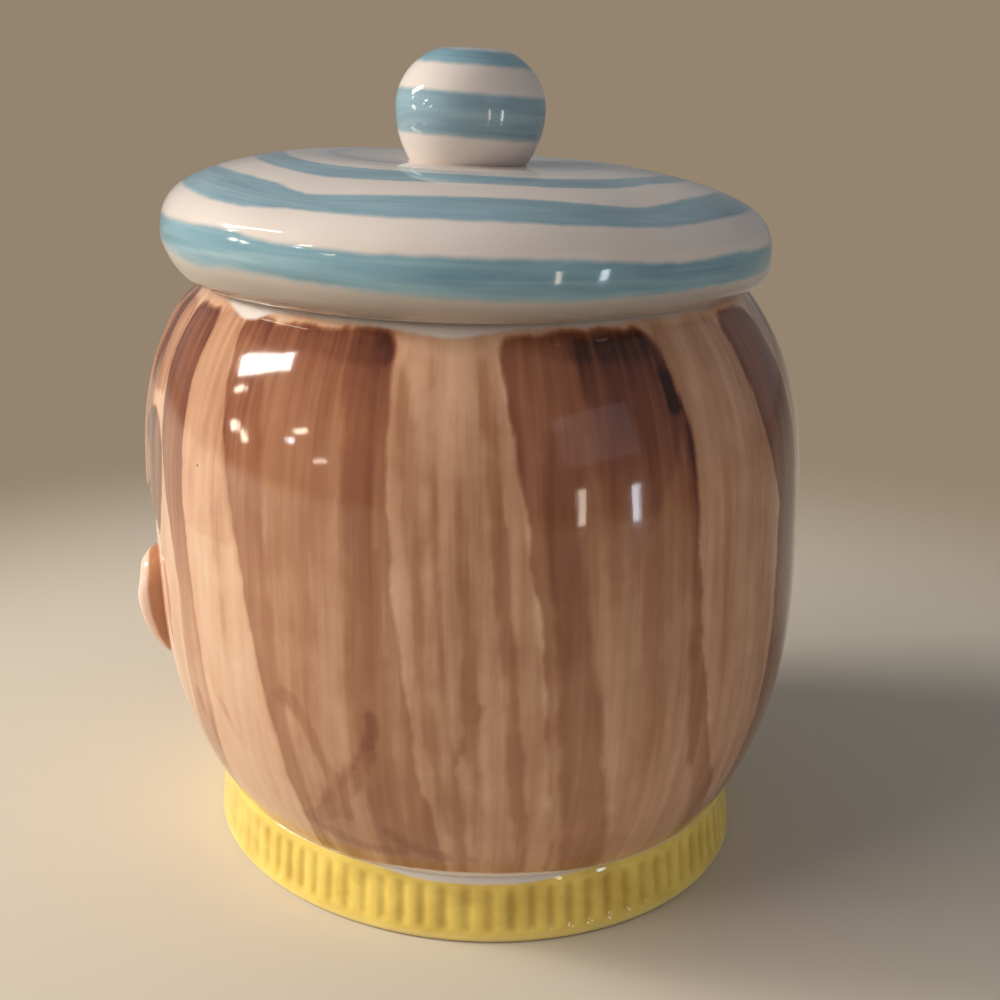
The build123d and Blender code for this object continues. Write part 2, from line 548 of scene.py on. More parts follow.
@dataclass(frozen=True)
class BrushedHair(Finish):
    """Brown underglaze brushed down the head in overlapping translucent pulls, and a painted face.

    One thin wash covers the hair, broad pulls of a flat brush lie over it, and where they overlap
    or pool the brown turns maroon. The bristles leave streaks along each pull. Its colour comes
    from one number, how thickly the brown lies, through a ramp.
    """

    washes: tuple[tuple[float, str], ...] = (
        (0.0, "e2c3a6"),
        (0.16, "d5a888"),
        (0.34, "ad7b5b"),
        (0.52, "925c41"),
        (0.70, "74422e"),
        (0.86, "532a1f"),
        (1.0, "351712"),
    )
    thickest: float = 1.5
    wash: float = 0.2
    bristle_pitch: float = 3.1
    bristle_length: float = 60.0
    bristle_share: float = 0.03     # how much the bristles add to the wash
    bristle_relief: float = 0.006
    streak_pitch: float = 8.0
    streak_length: float = 85.0
    streak_share: float = 0.46
    mottle_pitch: float = 9.0
    mottle_length: float = 14.0
    mottle_share: float = 0.26
    edge_wander: float = 1.6
    hairline_wander: float = 0.35   # the hairline wanders by this share of that
    edge_pool: float = 0.13         # the brown lies this much thicker at the edge of a pull
    edge_pool_width: float = 3.0
    # The layers of pulls and how soft their edges are, in millimetres
    coats: tuple[tuple[str, float], ...] = (("coat_first", 0.9), ("coat_second", 1.7), ("coat_third", 1.2))
    skin: str = "ecc7ae"
    blush: str = "dc8a74"
    eye_white: str = "ece6da"
    iris: str = "6d4a33"
    iris_rim: str = "3c2519"
    glint: str = "f4efe6"
    ink: str = "2b1a15"
    brow: str = "6a3f2b"
    lips: str = "bf6a5c"

    def coat(self, tree: Tree, name: str, softness: float, bristle: Socket, waver: Socket) -> Socket:
        """How thickly one layer of pulls lies.

        Args:
            tree: the node tree.
            name: attribute with the inside distance, the tone and the dryness of the pulls.
            softness: half the width of their edges, in millimetres.
            bristle: bristle streaks, -1 to 1.
            waver: wandering of the edges, in millimetres.

        Returns:
            The thickness's socket.
        """
        distance, tone, dryness = channels(tree, name)
        distance = add_node(tree, "ShaderNodeMath", {0: distance, 1: waver}).outputs[0]
        mask = edge(tree, distance, softness)
        pool = {
            "Value": distance,
            "From Min": 0.3,
            "From Max": self.edge_pool_width,
            "To Min": self.edge_pool,
            "To Max": 0.0,
        }
        pooled = add_node(tree, "ShaderNodeMapRange", pool, interpolation_type="SMOOTHSTEP").outputs[0]
        full = add_node(tree, "ShaderNodeMath", {0: bristle, 1: dryness, 2: 1.0}, operation="MULTIPLY_ADD")
        lain = add_node(tree, "ShaderNodeMath", {0: pooled, 1: full.outputs[0]})
        toned = add_node(tree, "ShaderNodeMath", {0: tone, 1: lain.outputs[0]}, operation="MULTIPLY")
        masked = {0: toned.outputs[0], 1: mask}
        return add_node(tree, "ShaderNodeMath", masked, operation="MULTIPLY").outputs[0]

    def brown(self, tree: Tree, brush: Socket, mottle: Socket, bristle: Socket, waver: Socket) -> Socket:
        """The colour of the hair, from how thickly the brown lies.

        The thickness is the wash, plus shares of the bristles, of broad streaks and of the
        mottling, less what those add on average, plus the three layers of pulls.

        Args:
            tree: the node tree.
            brush: place along and across the strokes, in millimetres.
            mottle: mottling of the wash, about 0.5 on average.
            bristle: bristle streaks, -1 to 1.
            waver: wandering of the edges, in millimetres.

        Returns:
            The colour's socket.
        """
        broad = grain(tree, brush, (self.streak_pitch, self.streak_pitch, self.streak_length))
        lain = self.wash
        shares = (bristle, self.bristle_share), (broad, self.streak_share), (mottle, self.mottle_share)
        for source, share in shares:
            added = {0: source, 1: share, 2: lain}
            lain = add_node(tree, "ShaderNodeMath", added, operation="MULTIPLY_ADD").outputs[0]
        average = (self.streak_share + self.mottle_share) / 2
        lain = add_node(tree, "ShaderNodeMath", {0: lain, 1: average}, operation="SUBTRACT").outputs[0]
        for name, softness in self.coats:
            layer = self.coat(tree, name, softness, bristle, waver)
            lain = add_node(tree, "ShaderNodeMath", {0: lain, 1: layer}).outputs[0]
        share = add_node(tree, "ShaderNodeMath", {0: lain, 1: self.thickest}, operation="DIVIDE").outputs[0]
        ramp = add_node(tree, "ShaderNodeValToRGB", {0: share})
        while len(ramp.color_ramp.elements) < len(self.washes):
            ramp.color_ramp.elements.new(0.5)
        for element, (position, code) in zip(ramp.color_ramp.elements, self.washes):
            element.position = position
            element.color = linear(code)
        return ramp.outputs[0]

    def features(self, tree: Tree, colour: Socket) -> Socket:
        """Paints the eyes, the brows and the lips.

        Args:
            tree: the node tree.
            colour: colour of the hair and the skin.

        Returns:
            The colour's socket.
        """
        white, iris, ink = channels(tree, "eyes")
        glint, brow, lips = channels(tree, "features")
        shine = {"Value": iris, "From Min": 0.2, "From Max": 2.4}
        depth = add_node(tree, "ShaderNodeMapRange", shine).outputs[0]
        iris_colour = painted_over(tree, self.iris_rim, self.iris, depth)
        touches = (
            (self.eye_white, white, 0.35),
            (iris_colour, iris, 0.3),
            (self.lips, lips, 0.5),
            (self.brow, brow, 0.4),
            (self.ink, ink, 0.3),
            (self.glint, glint, 0.3),
        )
        for above, distance, softness in touches:
            colour = painted_over(tree, colour, above, edge(tree, distance, softness))
        return colour

    def paint(self, tree: Tree) -> tuple[Socket, Socket | None]:
        """Paints the hair, the skin and the face.

        Args:
            tree: the node tree.

        Returns:
            The colour's socket and the relief of the bristle marks.
        """
        brush = add_node(tree, "ShaderNodeAttribute", attribute_name="brush").outputs["Vector"]
        fine = grain(tree, brush, (self.bristle_pitch, self.bristle_pitch, self.bristle_length), 3.0)
        mottle = grain(tree, brush, (self.mottle_pitch, self.mottle_pitch, self.mottle_length), 3.0)
        span = {"Value": fine, "From Min": 0.25, "From Max": 0.75, "To Min": -1.0, "To Max": 1.0}
        bristle = add_node(tree, "ShaderNodeMapRange", span).outputs[0]
        swing = {"Value": mottle, "To Min": -self.edge_wander, "To Max": self.edge_wander}
        waver = add_node(tree, "ShaderNodeMapRange", swing).outputs[0]

        hair, skin, blush = channels(tree, "ground")
        ragged = {0: waver, 1: self.hairline_wander, 2: hair}
        hair = add_node(tree, "ShaderNodeMath", ragged, operation="MULTIPLY_ADD").outputs[0]
        rosy = painted_over(tree, self.skin, self.blush, blush)
        colour = painted_over(tree, self.cream, rosy, edge(tree, skin, 0.8))
        brown = self.brown(tree, brush, mottle, bristle, waver)
        colour = painted_over(tree, colour, brown, edge(tree, hair, 0.6))
        marks = {0: bristle, 1: self.bristle_relief}
        relief = add_node(tree, "ShaderNodeMath", marks, operation="MULTIPLY").outputs[0]
        return self.features(tree, colour), relief


@dataclass(frozen=True)
class SkinAndHair(Finish):
    """Pink-painted earthenware for the ears, with the brown of the hair brushed over their backs."""

    skin: str = "f4d0be"
    fold: str = "e0a08a"
    brown: str = "cf9870"
    dark: str = "ad6f4c"
    streak_pitch: float = 5.0
    streak_length: float = 16.0

    def paint(self, tree: Tree) -> tuple[Socket, Socket | None]:
        """Paints the ear.

        Args:
            tree: the node tree.

        Returns:
            The colour's socket, and no relief.
        """
        back, dish, _ = channels(tree, "ear")
        pitch = (self.streak_pitch, self.streak_pitch, self.streak_length)
        streak = grain(tree, object_place(tree), pitch, 3.0)
        pink = painted_over(tree, self.skin, self.fold, dish)
        brown = painted_over(tree, self.brown, self.dark, streak)
        return painted_over(tree, pink, brown, edge(tree, back, 0.6)), None


@dataclass(frozen=True)
class YellowCollar(Finish):
    """Yellow underglaze on the fluted foot, thin on the ridges and deep in the flutes.

    A bare cream line is left at the neck, the foot's lower edge is wiped paler, and the floor
    inside and the underside are left unpainted.
    """

    bright: str = "f5d86c"
    deep: str = "b48a2c"
    wiped: str = "e9d791"
    cloud_pitch: float = 11.0
    cloud_height: float = 9.0
    thinnest: float = -0.18         # what the clouding adds to the depth of the yellow
    thickest: float = 0.5

    def paint(self, tree: Tree) -> tuple[Socket, Socket | None]:
        """Paints the collar.

        Args:
            tree: the node tree.

        Returns:
            The colour's socket, and no relief.
        """
        painted, sunk, wiped = channels(tree, "collar")
        cloud = grain(tree, object_place(tree), (self.cloud_pitch, self.cloud_pitch, self.cloud_height), 3.0)
        span = {
            "Value": cloud,
            "From Min": 0.25,
            "From Max": 0.8,
            "To Min": self.thinnest,
            "To Max": self.thickest,
        }
        uneven = add_node(tree, "ShaderNodeMapRange", span).outputs[0]
        depth = add_node(tree, "ShaderNodeMath", {0: sunk, 1: uneven}, use_clamp=True).outputs[0]
        yellow = painted_over(tree, self.bright, self.deep, depth)
        yellow = painted_over(tree, yellow, self.wiped, wiped)
        return painted_over(tree, self.cream, yellow, edge(tree, painted, 0.5)), None


@dataclass(frozen=True)
class BlueBanding(Finish):
    """Blue-grey underglaze banded on a turning wheel over cream, as on the cap and its knob.

    The loaded brush leaves faint streaks that run round with the band, deeper where two turns
    overlap, and an edge that wavers by half a millimetre. Painted shade darkens the cream under the brim.
    """

    pooled: str = "d8ccc3"
    pool_pitch: float = 30.0
    blue: str = "88adba"
    deep: str = "5a8295"
    thin: str = "b2c8cc"
    brim_shade: str = "a4988d"        # painted shade: the cream under the brim is painted darker
    brim_shade_from: float = 99.0     # how far out along the surface that starts, and where it is full
    brim_shade_to: float = 105.5
    brim_shade_share: float = 0.88
    streak_pitch: float = 1.3
    streak_length: float = 70.0
    load_pitch: float = 5.0         # the brush's load of paint varies over about this distance
    load_length: float = 38.0
    edge_pitch: float = 7.0
    edge_wander: float = 0.5

    def paint(self, tree: Tree) -> tuple[Socket, Socket | None]:
        """Paints the bands.

        Args:
            tree: the node tree.

        Returns:
            The colour's socket, and no relief.
        """
        inside, tone, along = channels(tree, "band")
        turning = add_node(tree, "ShaderNodeAttribute", attribute_name="turning").outputs["Vector"]
        place = object_place(tree)
        streak = grain(tree, turning, (self.streak_length, self.streak_length, self.streak_pitch), 3.0)
        load = grain(tree, turning, (self.load_length, self.load_length, self.load_pitch))
        wave = grain(tree, place, (self.edge_pitch,) * 3)
        swing = {"Value": wave, "To Min": -self.edge_wander, "To Max": self.edge_wander}
        waver = add_node(tree, "ShaderNodeMapRange", swing).outputs[0]
        inside = add_node(tree, "ShaderNodeMath", {0: inside, 1: waver}).outputs[0]
        body = {"Value": load, "From Min": 0.3, "From Max": 0.8, "To Max": 0.8}
        deep = add_node(tree, "ShaderNodeMapRange", body).outputs[0]
        blue = painted_over(tree, self.blue, self.deep, deep)
        pale = {"Value": streak, "From Min": 0.5, "From Max": 0.85, "To Max": 0.38}
        blue = painted_over(tree, blue, self.thin, add_node(tree, "ShaderNodeMapRange", pale).outputs[0])
        cream = painted_over(tree, self.cream, self.pooled, grain(tree, place, (self.pool_pitch,) * 3))
        # Painted shade: the cream darkens from the brim's edge in under it
        run = {
            "Value": along,
            "From Min": self.brim_shade_from,
            "From Max": self.brim_shade_to,
            "To Max": self.brim_shade_share,
        }
        low = add_node(tree, "ShaderNodeMapRange", run, interpolation_type="SMOOTHSTEP").outputs[0]
        cream = painted_over(tree, cream, self.brim_shade, low)
        mask = add_node(tree, "ShaderNodeMath", {0: edge(tree, inside, 0.9), 1: tone}, operation="MULTIPLY")
        return painted_over(tree, cream, blue, mask.outputs[0]), None


# ---------------------------------------------------------------- the head


@dataclass(frozen=True)
class Swelling:
    """A soft rise or hollow on the face, the same on both sides: rise times e to the -(r^power).

    r is the distance from its centre in half-sizes of its oval.
    """

    across: float
    level: float
    half_across: float
    half_tall: float
    rise: float
    power: float = 2.0

    def relief(self, across: Array, level: Array) -> Array:
        """How far it lifts the surface.

        Args:
            across: sideways places in millimetres.
            level: heights in millimetres.

        Returns:
            Relief in millimetres.
        """
        sideways = (np.abs(across) - self.across) / self.half_across
        out = np.hypot(sideways, (level - self.level) / self.half_tall)
        return self.rise * np.exp(-(out**self.power))


@dataclass(frozen=True)
class Pull:
    """One pull of the flat brush down the hair, given where it crosses the head's levels.

    Attributes:
        left: bearings of one edge at each of LEVELS.
        right: bearings of the other edge at each of LEVELS.
        tone: how thickly it lies at each of LEVELS.
        top: height where it starts.
        bottom: height where it ends.
        dryness: how strongly its bristles show.
    """

    left: tuple[float, ...]
    right: tuple[float, ...]
    tone: tuple[float, ...]
    top: float = 171.0
    bottom: float = 0.0
    dryness: float = 0.17


LEVELS = (171.0, 150.0, 120.0, 90.0, 60.0, 30.0)

# The first coat: broad pulls from the rim to the neck
FIRST_PULLS = (
    Pull((5, 5.5, 9.5, 15, 15, 12), (17.5, 17.5, 18.2, 20.6, 22.8, 19.5), (0.8, 0.72, 0.6, 0.24, 0.17, 0.4)),
    Pull((26, 28.5, 33, 36, 39.5, 41), (59.5, 59.5, 60.5, 62, 64, 67), (0.68, 0.4, 0.28, 0.22, 0.22, 0.24)),
    Pull(
        (76.5, 79, 81, 83, 84, 86), (105.5, 108, 108.5, 110, 114, 122),
        (0.62, 0.56, 0.36, 0.24, 0.18, 0.14),
    ),
    Pull(
        (124.5, 126, 131, 131, 130, 126), (140, 141, 141, 141.5, 141, 138),
        (0.66, 0.72, 0.84, 0.74, 0.48, 0.42),
    ),
    Pull(
        (147, 148.5, 150, 151, 152, 153), (157, 158.5, 160, 161, 162, 163),
        (0.56, 0.74, 0.74, 0.64, 0.5, 0.44),
    ),
    Pull(
        (166, 166.5, 167, 168, 169, 170), (192, 182, 177, 176, 175.5, 175),
        (0.5, 0.45, 0.38, 0.3, 0.26, 0.26),
    ),
)
# The third coat: thin single-bristle-bundle streaks and faint broad washes beside the strokes; the washes on
# the right of the back are partly painted shade
THIRD_PULLS_AND_SHADE = (
    Pull(
        (60.5, 62, 63, 64, 66, 69), (66, 67, 67.6, 68.6, 70, 72),
        (0.1, 0.13, 0.13, 0.12, 0.12, 0.14), 168, 0,
    ),
    Pull(
        (68.6, 69.6, 70.4, 71, 71.6, 72.6), (69.8, 71, 71.9, 72.8, 73.6, 74.6),
        (0.0, 0.09, 0.14, 0.14, 0.12, 0.1), 158, 0,
    ),
    Pull(
        (73, 74.4, 75.6, 76.8, 77.8, 79.6), (75, 76.2, 77.5, 79, 80.2, 82),
        (0.1, 0.17, 0.2, 0.18, 0.15, 0.12), 168, 0,
    ),
    # These two washes fill the gaps between the first pulls at bearings 105 to 153, partly as brown paint and
    # partly as painted shade on that side
    Pull(
        (105.5, 108, 108.5, 110, 114, 122), (124.5, 126, 131, 131, 130, 126),
        (0.18, 0.24, 0.23, 0.18, 0.14, 0.12), 171, 0,
    ),
    Pull((140, 141, 141.5, 142, 141.5, 139), (147, 148.5, 150, 151, 152, 153), (0.2,) * 6, 171, 0),
    Pull((17.5, 17.5, 18.2, 20, 20, 20), (26, 28.5, 33, 36, 36, 36), (0.2, 0.14, 0.08, 0, 0, 0), 171, 112),
    Pull((-6,) * 6, (5, 5.5, 9.5, 15, 15, 12), (0.32, 0.28, 0.2, 0, 0, 0), 171, 143),
)
# The second coat: narrower pulls that overlap the first and turn it maroon
SECOND_PULLS = (
    Pull((26, 28.5, 32, 36, 39, 41), (37, 37.5, 39, 41, 42.5, 44), (0.0, 0.2, 0.14, 0.1, 0.14, 0.16), 158, 0),
    Pull(
        (51, 52.5, 53.5, 54, 55, 56), (59.5, 59.5, 60, 61.5, 63, 65),
        (0.2, 0.22, 0.26, 0.2, 0.14, 0.1), 171, 0,
    ),
    Pull((55, 56, 57, 57.5, 58, 59), (60.5, 64, 65, 66, 68, 71), (0.1, 0.14, 0.14, 0.12, 0.1, 0.1), 166, 0),
    Pull(
        (89, 91, 92, 92, 92, 93), (105.5, 107.5, 99, 97, 97, 98),
        (0.46, 0.26, 0.06, 0.0, 0.0, 0.0), 170, 112,
    ),
    Pull(
        (83.5, 83, 83, 85.2, 85.8, 88.5), (90, 89, 88.8, 90.6, 93, 97),
        (0.0, 0.12, 0.26, 0.24, 0.24, 0.26), 150, 0,
    ),
    Pull((27.2, 27.2, 27.5, 28.5, 29, 30), (28.4, 28.4, 28.7, 29.8, 30.5, 31), (0.14,) * 6, 154, 76),
    Pull(
        (104, 106.7, 107.2, 107.8, 109, 116), (105.5, 108, 108.5, 110, 114, 122),
        (0.3, 0.26, 0.2, 0.18, 0.16, 0.14),
    ),
    Pull(
        (133, 135, 137, 138, 138, 134), (140, 141, 141, 141.5, 141, 138),
        (0.12, 0.16, 0.16, 0.14, 0.1, 0.1),
    ),
    Pull(
        (66, 66.5, 67, 67.5, 68, 67), (76, 78.8, 81, 83, 84, 86),
        (0.08, 0.15, 0.2, 0.17, 0.09, 0.08), 171, 0, 0.4,
    ),
)


@dataclass(frozen=True)
class Dab:
    """A short touch of a smaller brush: a curve through three places, each a bearing and a height."""

    route: tuple[tuple[float, float], tuple[float, float], tuple[float, float]]
    half_wide: float
    tone: float


DABS = (
    Dab(((0.5, 129), (2.6, 121), (-1.5, 103)), 9.0, 0.9),
    Dab(((105.3, 160), (105.9, 156), (106.1, 152.6)), 1.7, 0.42),
    Dab(((41.5, 74), (46, 66), (51, 40)), 2.2, 0.12),
    Dab(((57, 74), (55.4, 62), (46.5, 41)), 1.6, 0.2),
    Dab(((56, 62), (50, 44), (42, 34)), 2.4, 0.12),
    Dab(((43, 33), (52, 28), (60, 29)), 1.8, 0.16),
    Dab(((58, 36), (64, 30), (73, 28)), 1.8, 0.14),
    Dab(((73.6, 79), (71.6, 70), (69.2, 60)), 0.9, 0.16),
    Dab(((28, 168.5), (36, 167), (45, 168)), 2.6, 0.1),
    Dab(((47, 168), (53, 166.5), (58.4, 167)), 3.0, 0.12),
    Dab(((84, 170), (92, 168), (103, 168)), 3.4, 0.12),
    Dab(((18, 60), (19.5, 52), (20, 44)), 2.4, 0.14),
    Dab(((108.5, 88), (110, 70), (110.5, 54)), 2.0, 0.07),
    Dab(((26, 63), (27.5, 58), (29, 54)), 1.4, 0.12),
)

SWELLINGS = (
    Swelling(0, 78, 8.6, 9.6, 8.0, 2.6),        # the ball of the nose
    Swelling(5.2, 73.5, 4.0, 4.2, 2.2),         # its wings
    Swelling(0, 91, 6.5, 13.0, 2.2),            # its bridge
    Swelling(31, 97.5, 17.0, 13.0, -2.6),       # eye sockets
    Swelling(31, 97, 11.5, 8.2, 2.7, 3.0),      # eyeballs
    Swelling(30, 114, 19.0, 6.0, 1.0),          # brows
    Swelling(40, 66, 25.0, 21.0, 3.2),          # cheeks
    Swelling(0, 34, 17.0, 11.0, 3.2),           # chin
    Swelling(0, 57.6, 11.5, 3.0, 2.3),          # upper lip
    Swelling(0, 52.4, 10.0, 3.4, 2.6),          # lower lip
    Swelling(0, 55.2, 12.0, 0.9, -1.2),         # the line between the lips
    Swelling(0, 46, 11.0, 4.0, -1.1),           # hollow under the lower lip
    Swelling(0, 63.5, 2.4, 4.0, -0.6),          # groove above the upper lip
)


@dataclass(frozen=True)
class HeadGrid:
    """Where each vertex of the head lies before its relief, as arrays of rows by columns.

    Attributes:
        height: heights in millimetres.
        turn: bearings in degrees.
        around: degrees from the middle of the face, positive towards the left ear.
        aside: the same without sign.
        offset: millimetres outwards from the outer form, so that the inside has less than 0.
        half: half-widths of the outer form from ear to ear.
        across: sideways places in millimetres.
        per_degree: millimetres on the surface for each degree.
        hair: millimetres inside the hair.
        swept: degrees aside where the strand of hair through the vertex leaves the rim.
        strand: 1 along the back of a strand, -1 in the groove beside it and 0 where there are none.
    """

    height: Array
    turn: Array
    around: Array
    aside: Array
    offset: Array
    half: Array
    across: Array
    per_degree: Array
    hair: Array
    swept: Array
    strand: Array


@dataclass
class Head:
    """The hollow head: one slip-cast shell, with the nose, the lips and the front hair in its wall."""

    belly_half: float = 98.4
    belly_height: float = 105.0
    fullness: float = 3.1
    rim_rounding: float = 1.6
    columns: int = 500
    outer_rows: int = 164
    inner_rows: int = 22
    unevenness: float = 0.3         # hand-finished slip ware is never quite true
    hair_aside: float = 96.0        # bearing from the face where the front hair's relief ends
    lock_relief: float = 2.0
    lock_pitch: float = 7.5         # strands of the front hair are this many degrees apart
    strand_depth: float = 0.55
    sweep: float = 1.15             # degrees that a strand sweeps outwards for each millimetre it falls
    sweep_end: float = 62.0         # bearing from the face where the sweep has died away
    hair_bottom: float = 20.3
    hair_top: float = 173.0
    # Bearing, reach and depth of the places where the brown stops short of the rim
    bare_rims: tuple[tuple[float, float, float], ...] = ((26, 6, 3.2), (68, 9, 2.2))
    skin_bottom: float = 20.4
    skin_top: float = 172.0
    skin_aside: float = 102.0
    eye_across: float = 31.0
    eye_level: float = 97.0
    eye_half: float = 11.5
    upper_lid: float = 6.4
    lower_lid: float = 4.6
    iris_radius: float = 5.7
    pupil_radius: float = 2.8
    mouth_level: float = 55.4
    mouth_half: float = 13.0

    def half_width(self, height: Array) -> Array:
        """The outer half-width: end + (belly - end)(1 - away^fullness), away from the belly's level.

        Args:
            height: heights in millimetres.

        Returns:
            Half-widths from ear to ear, in millimetres.
        """
        low = height < self.belly_height
        away = np.where(
            low,
            (self.belly_height - height) / (self.belly_height - COLLAR_HEIGHT),
            (height - self.belly_height) / (RIM_HEIGHT - self.belly_height),
        )
        end = np.where(low, NECK_HALF, RIM_HALF)
        return end + (self.belly_half - end) * (1 - np.clip(away, 0, 1) ** self.fullness)

    def from_face(self) -> Array:
        """Angles of the columns from the middle of the face, closer together on the face.

        The density of columns is 1 plus a bell round the face, and the angles are where the
        running sum of the density passes equal shares.

        Returns:
            Degrees from -180 to 180, one for each column.
        """
        fine = np.linspace(-180, 180, 3601)
        running = running_share(1 + 1.9 * bell(fine, 0, 34, 4))
        return np.interp(np.arange(self.columns) / self.columns, running, fine)

    def section(self) -> tuple[Array, Array]:
        """The wall's section as a closed path: up the outside, over the rim and down the inside.

        The rows lie closer together at the level of the face, by a running sum of their density.

        Returns:
            Heights along the path, and offsets outwards from the outer form.
        """
        shoulder = RIM_HEIGHT - self.rim_rounding
        fine = np.linspace(COLLAR_HEIGHT, shoulder, 1601)
        running = running_share(1 + 1.1 * bell(fine, 88, 32, 4))
        outside = np.interp(np.linspace(0, 1, self.outer_rows), running, fine)
        outer_turn = rounded_corner((-self.rim_rounding, shoulder), self.rim_rounding, 0)[1:]
        inner_turn = rounded_corner((self.rim_rounding - WALL, shoulder), self.rim_rounding, 90)
        inside = np.linspace(shoulder, COLLAR_HEIGHT, self.inner_rows)[1:]
        heights = np.concatenate([outside, outer_turn[:, 1], inner_turn[:, 1], inside])
        offsets = np.concatenate([outside * 0, outer_turn[:, 0], inner_turn[:, 0], inside * 0 - WALL])
        return heights, offsets

    def hairline(self, aside: Array, height: Array, per_degree: Array) -> Array:
        """Millimetres inside the hair, on either side of the face.

        In front, the hair is what lies above a line from the parting to the tips over the
        temples. Behind the ears it is what lies behind a line that falls to the neck.

        Args:
            aside: degrees from the middle of the face, without sign.
            height: heights in millimetres.
            per_degree: millimetres on the surface for each degree.

        Returns:
            Distances, positive in the hair.
        """
        angles = (0, 5, 12, 22, 30, 33, 36, 46, 58, 70, 75, 79, 200)
        levels = (161, 156, 148, 137, 129.5, 127, 131, 126.5, 120, 112.5, 110.5, 112, 112)
        above = (height - np.interp(aside, angles, levels)) * 0.8
        edges = np.interp(height, (20, 60, 85, 98, 106, 112), (98, 97, 96, 93.5, 89, 80))
        behind = (aside - edges) * per_degree
        return -meet(-above, -behind, 3.0)

    def grid(self) -> HeadGrid:
        """Works out the grid: the section's rows, with columns round the head from its back.

        Returns:
            The head's grid.
        """
        heights, offsets = self.section()
        from_face = self.from_face()
        turns = from_face + np.where(from_face > 0, FACE - 360, FACE)
        height, turn = np.meshgrid(heights, turns, indexing="ij")
        around = np.broadcast_to(from_face, height.shape)
        aside = np.abs(around)
        half = self.half_width(height)
        angle = np.radians(turn)
        per_degree = np.radians(1) * half * np.hypot(np.sin(angle), DEPTH_RATIO * np.cos(angle))
        hair = self.hairline(aside, height, per_degree)
        swept = aside - self.sweep * (RIM_HEIGHT - height) * smooth(aside, self.sweep_end, 8.0)
        phase = np.cos(2 * np.pi * swept / self.lock_pitch)
        return HeadGrid(
            height=height,
            turn=turn,
            around=around,
            aside=aside,
            offset=np.broadcast_to(offsets[:, None], height.shape),
            half=half,
            across=half * np.cos(angle),
            per_degree=per_degree,
            hair=hair,
            swept=swept,
            strand=phase * smooth(aside, self.hair_aside, 76) * smooth(hair, 0, 3),
        )

    def relief(self, grid: HeadGrid) -> Array:
        """How far the surface stands out from the plain form, along the plan's normal.

        It is the sum of the step of the front hair, its strands, the groove that ends it, the
        swellings of the face and a slow wobble. It fades out at the collar and on the inside.

        Args:
            grid: the head's grid.

        Returns:
            Relief in millimetres.
        """
        aside, height, hair = grid.aside, grid.height, grid.hair
        lock = self.lock_relief * smooth(hair, -0.6, 2.2) * smooth(aside, self.hair_aside, 80)
        lock = lock * smooth(height, RIM_HEIGHT - 1, RIM_HEIGHT - 9)
        strands = self.strand_depth * grid.strand * smooth(height, RIM_HEIGHT - 2, RIM_HEIGHT - 12)
        groove = -0.6 * bell(hair, 0, 1.3) * smooth(aside, 74, 90) * smooth(height, 166, 150)
        relief = lock + strands + groove
        front = smooth(aside, 88, 70)
        for swelling in SWELLINGS:
            relief = relief + front * swelling.relief(grid.across, height)
        calm = smooth(height, COLLAR_HEIGHT, 34) * smooth(height, RIM_HEIGHT, 160)
        slow = wander(grid.turn, 5, (1, 2, 3)) * np.sin(height / 31)
        slow = slow + wander(grid.turn, 6, (2, 4, 7)) * np.cos(height / 19)
        outside = (np.arange(len(height)) < self.outer_rows + 2)[:, None]
        relief = (relief + self.unevenness * slow) * np.where(aside < self.hair_aside, 1, calm) * outside
        return relief * smooth(height, COLLAR_HEIGHT - 1, 27)

    def pulls(self, pulls: tuple[Pull, ...], grid: HeadGrid) -> Layer:
        """The union of some pulls of the brush.

        Args:
            pulls: the pulls.
            grid: the head's grid.

        Returns:
            Inside distances, tones and dryness.
        """
        layer: Layer = (np.full(grid.turn.shape, FAR_OUTSIDE), 0.0, 0.0)
        rising = LEVELS[::-1]
        for number, pull in enumerate(pulls):
            left, right, tone = (
                np.interp(grid.height, rising, values[::-1]) for values in (pull.left, pull.right, pull.tone)
            )
            side = meet((grid.turn - left) * grid.per_degree, (right - grid.turn) * grid.per_degree, 0.8)
            top = pull.top + 1.5 * wander(grid.turn * 3, number)
            ends = np.minimum(top - grid.height, grid.height - pull.bottom)
            layer = both_layers((meet(side, ends, 5.0), tone, pull.dryness), layer)
        return layer

    def dabs(self, grid: HeadGrid) -> Layer:
        """The union of the short touches: each one's half-width less the distance to its curve.

        Args:
            grid: the head's grid.

        Returns:
            Inside distances, tones and dryness.
        """
        layer: Layer = (np.full(grid.turn.shape, FAR_OUTSIDE), 0.0, 0.4)
        per_degree = np.radians(1) * self.belly_half
        for dab in DABS:
            route = tuple((bearing * per_degree, level) for bearing, level in dab.route)
            inside = dab.half_wide - pulled_line(grid.turn * per_degree, grid.height, route)
            layer = both_layers((inside, dab.tone, 0.4), layer)
        return layer

    def ground(self, grid: HeadGrid) -> Layer:
        """Where the head is hair and where it is skin, between the collar and the rim.

        Args:
            grid: the head's grid.

        Returns:
            Millimetres inside the hair and inside the skin, and how rosy the skin is.
        """
        turn, height, aside = grid.turn, grid.height, grid.aside
        top = self.hair_top + 0.6 * wander(turn * 2, 11)
        for middle, reach, depth in self.bare_rims:
            top = top - depth * bell(turn, middle, reach)
        bottom = self.hair_bottom + 0.5 * wander(turn, 12) + 1.8 * neck_line(turn)
        outside = np.where(grid.offset < -WALL / 2, FAR_OUTSIDE, -FAR_OUTSIDE)
        hair = np.minimum.reduce([grid.hair, top - height, height - bottom, outside])
        reach = (self.skin_aside - aside) * grid.per_degree
        skin = np.minimum.reduce([self.skin_top - height, height - self.skin_bottom, reach, outside])
        cheeks = 0.85 * patch(np.abs(grid.across), height, (42, 67), (17, 14)) * smooth(aside, 88, 70)
        round_ears = 0.5 * patch(aside, height, (85, 74), (9, 22))
        return hair, skin, np.clip(cheeks + round_ears, 0, 1)

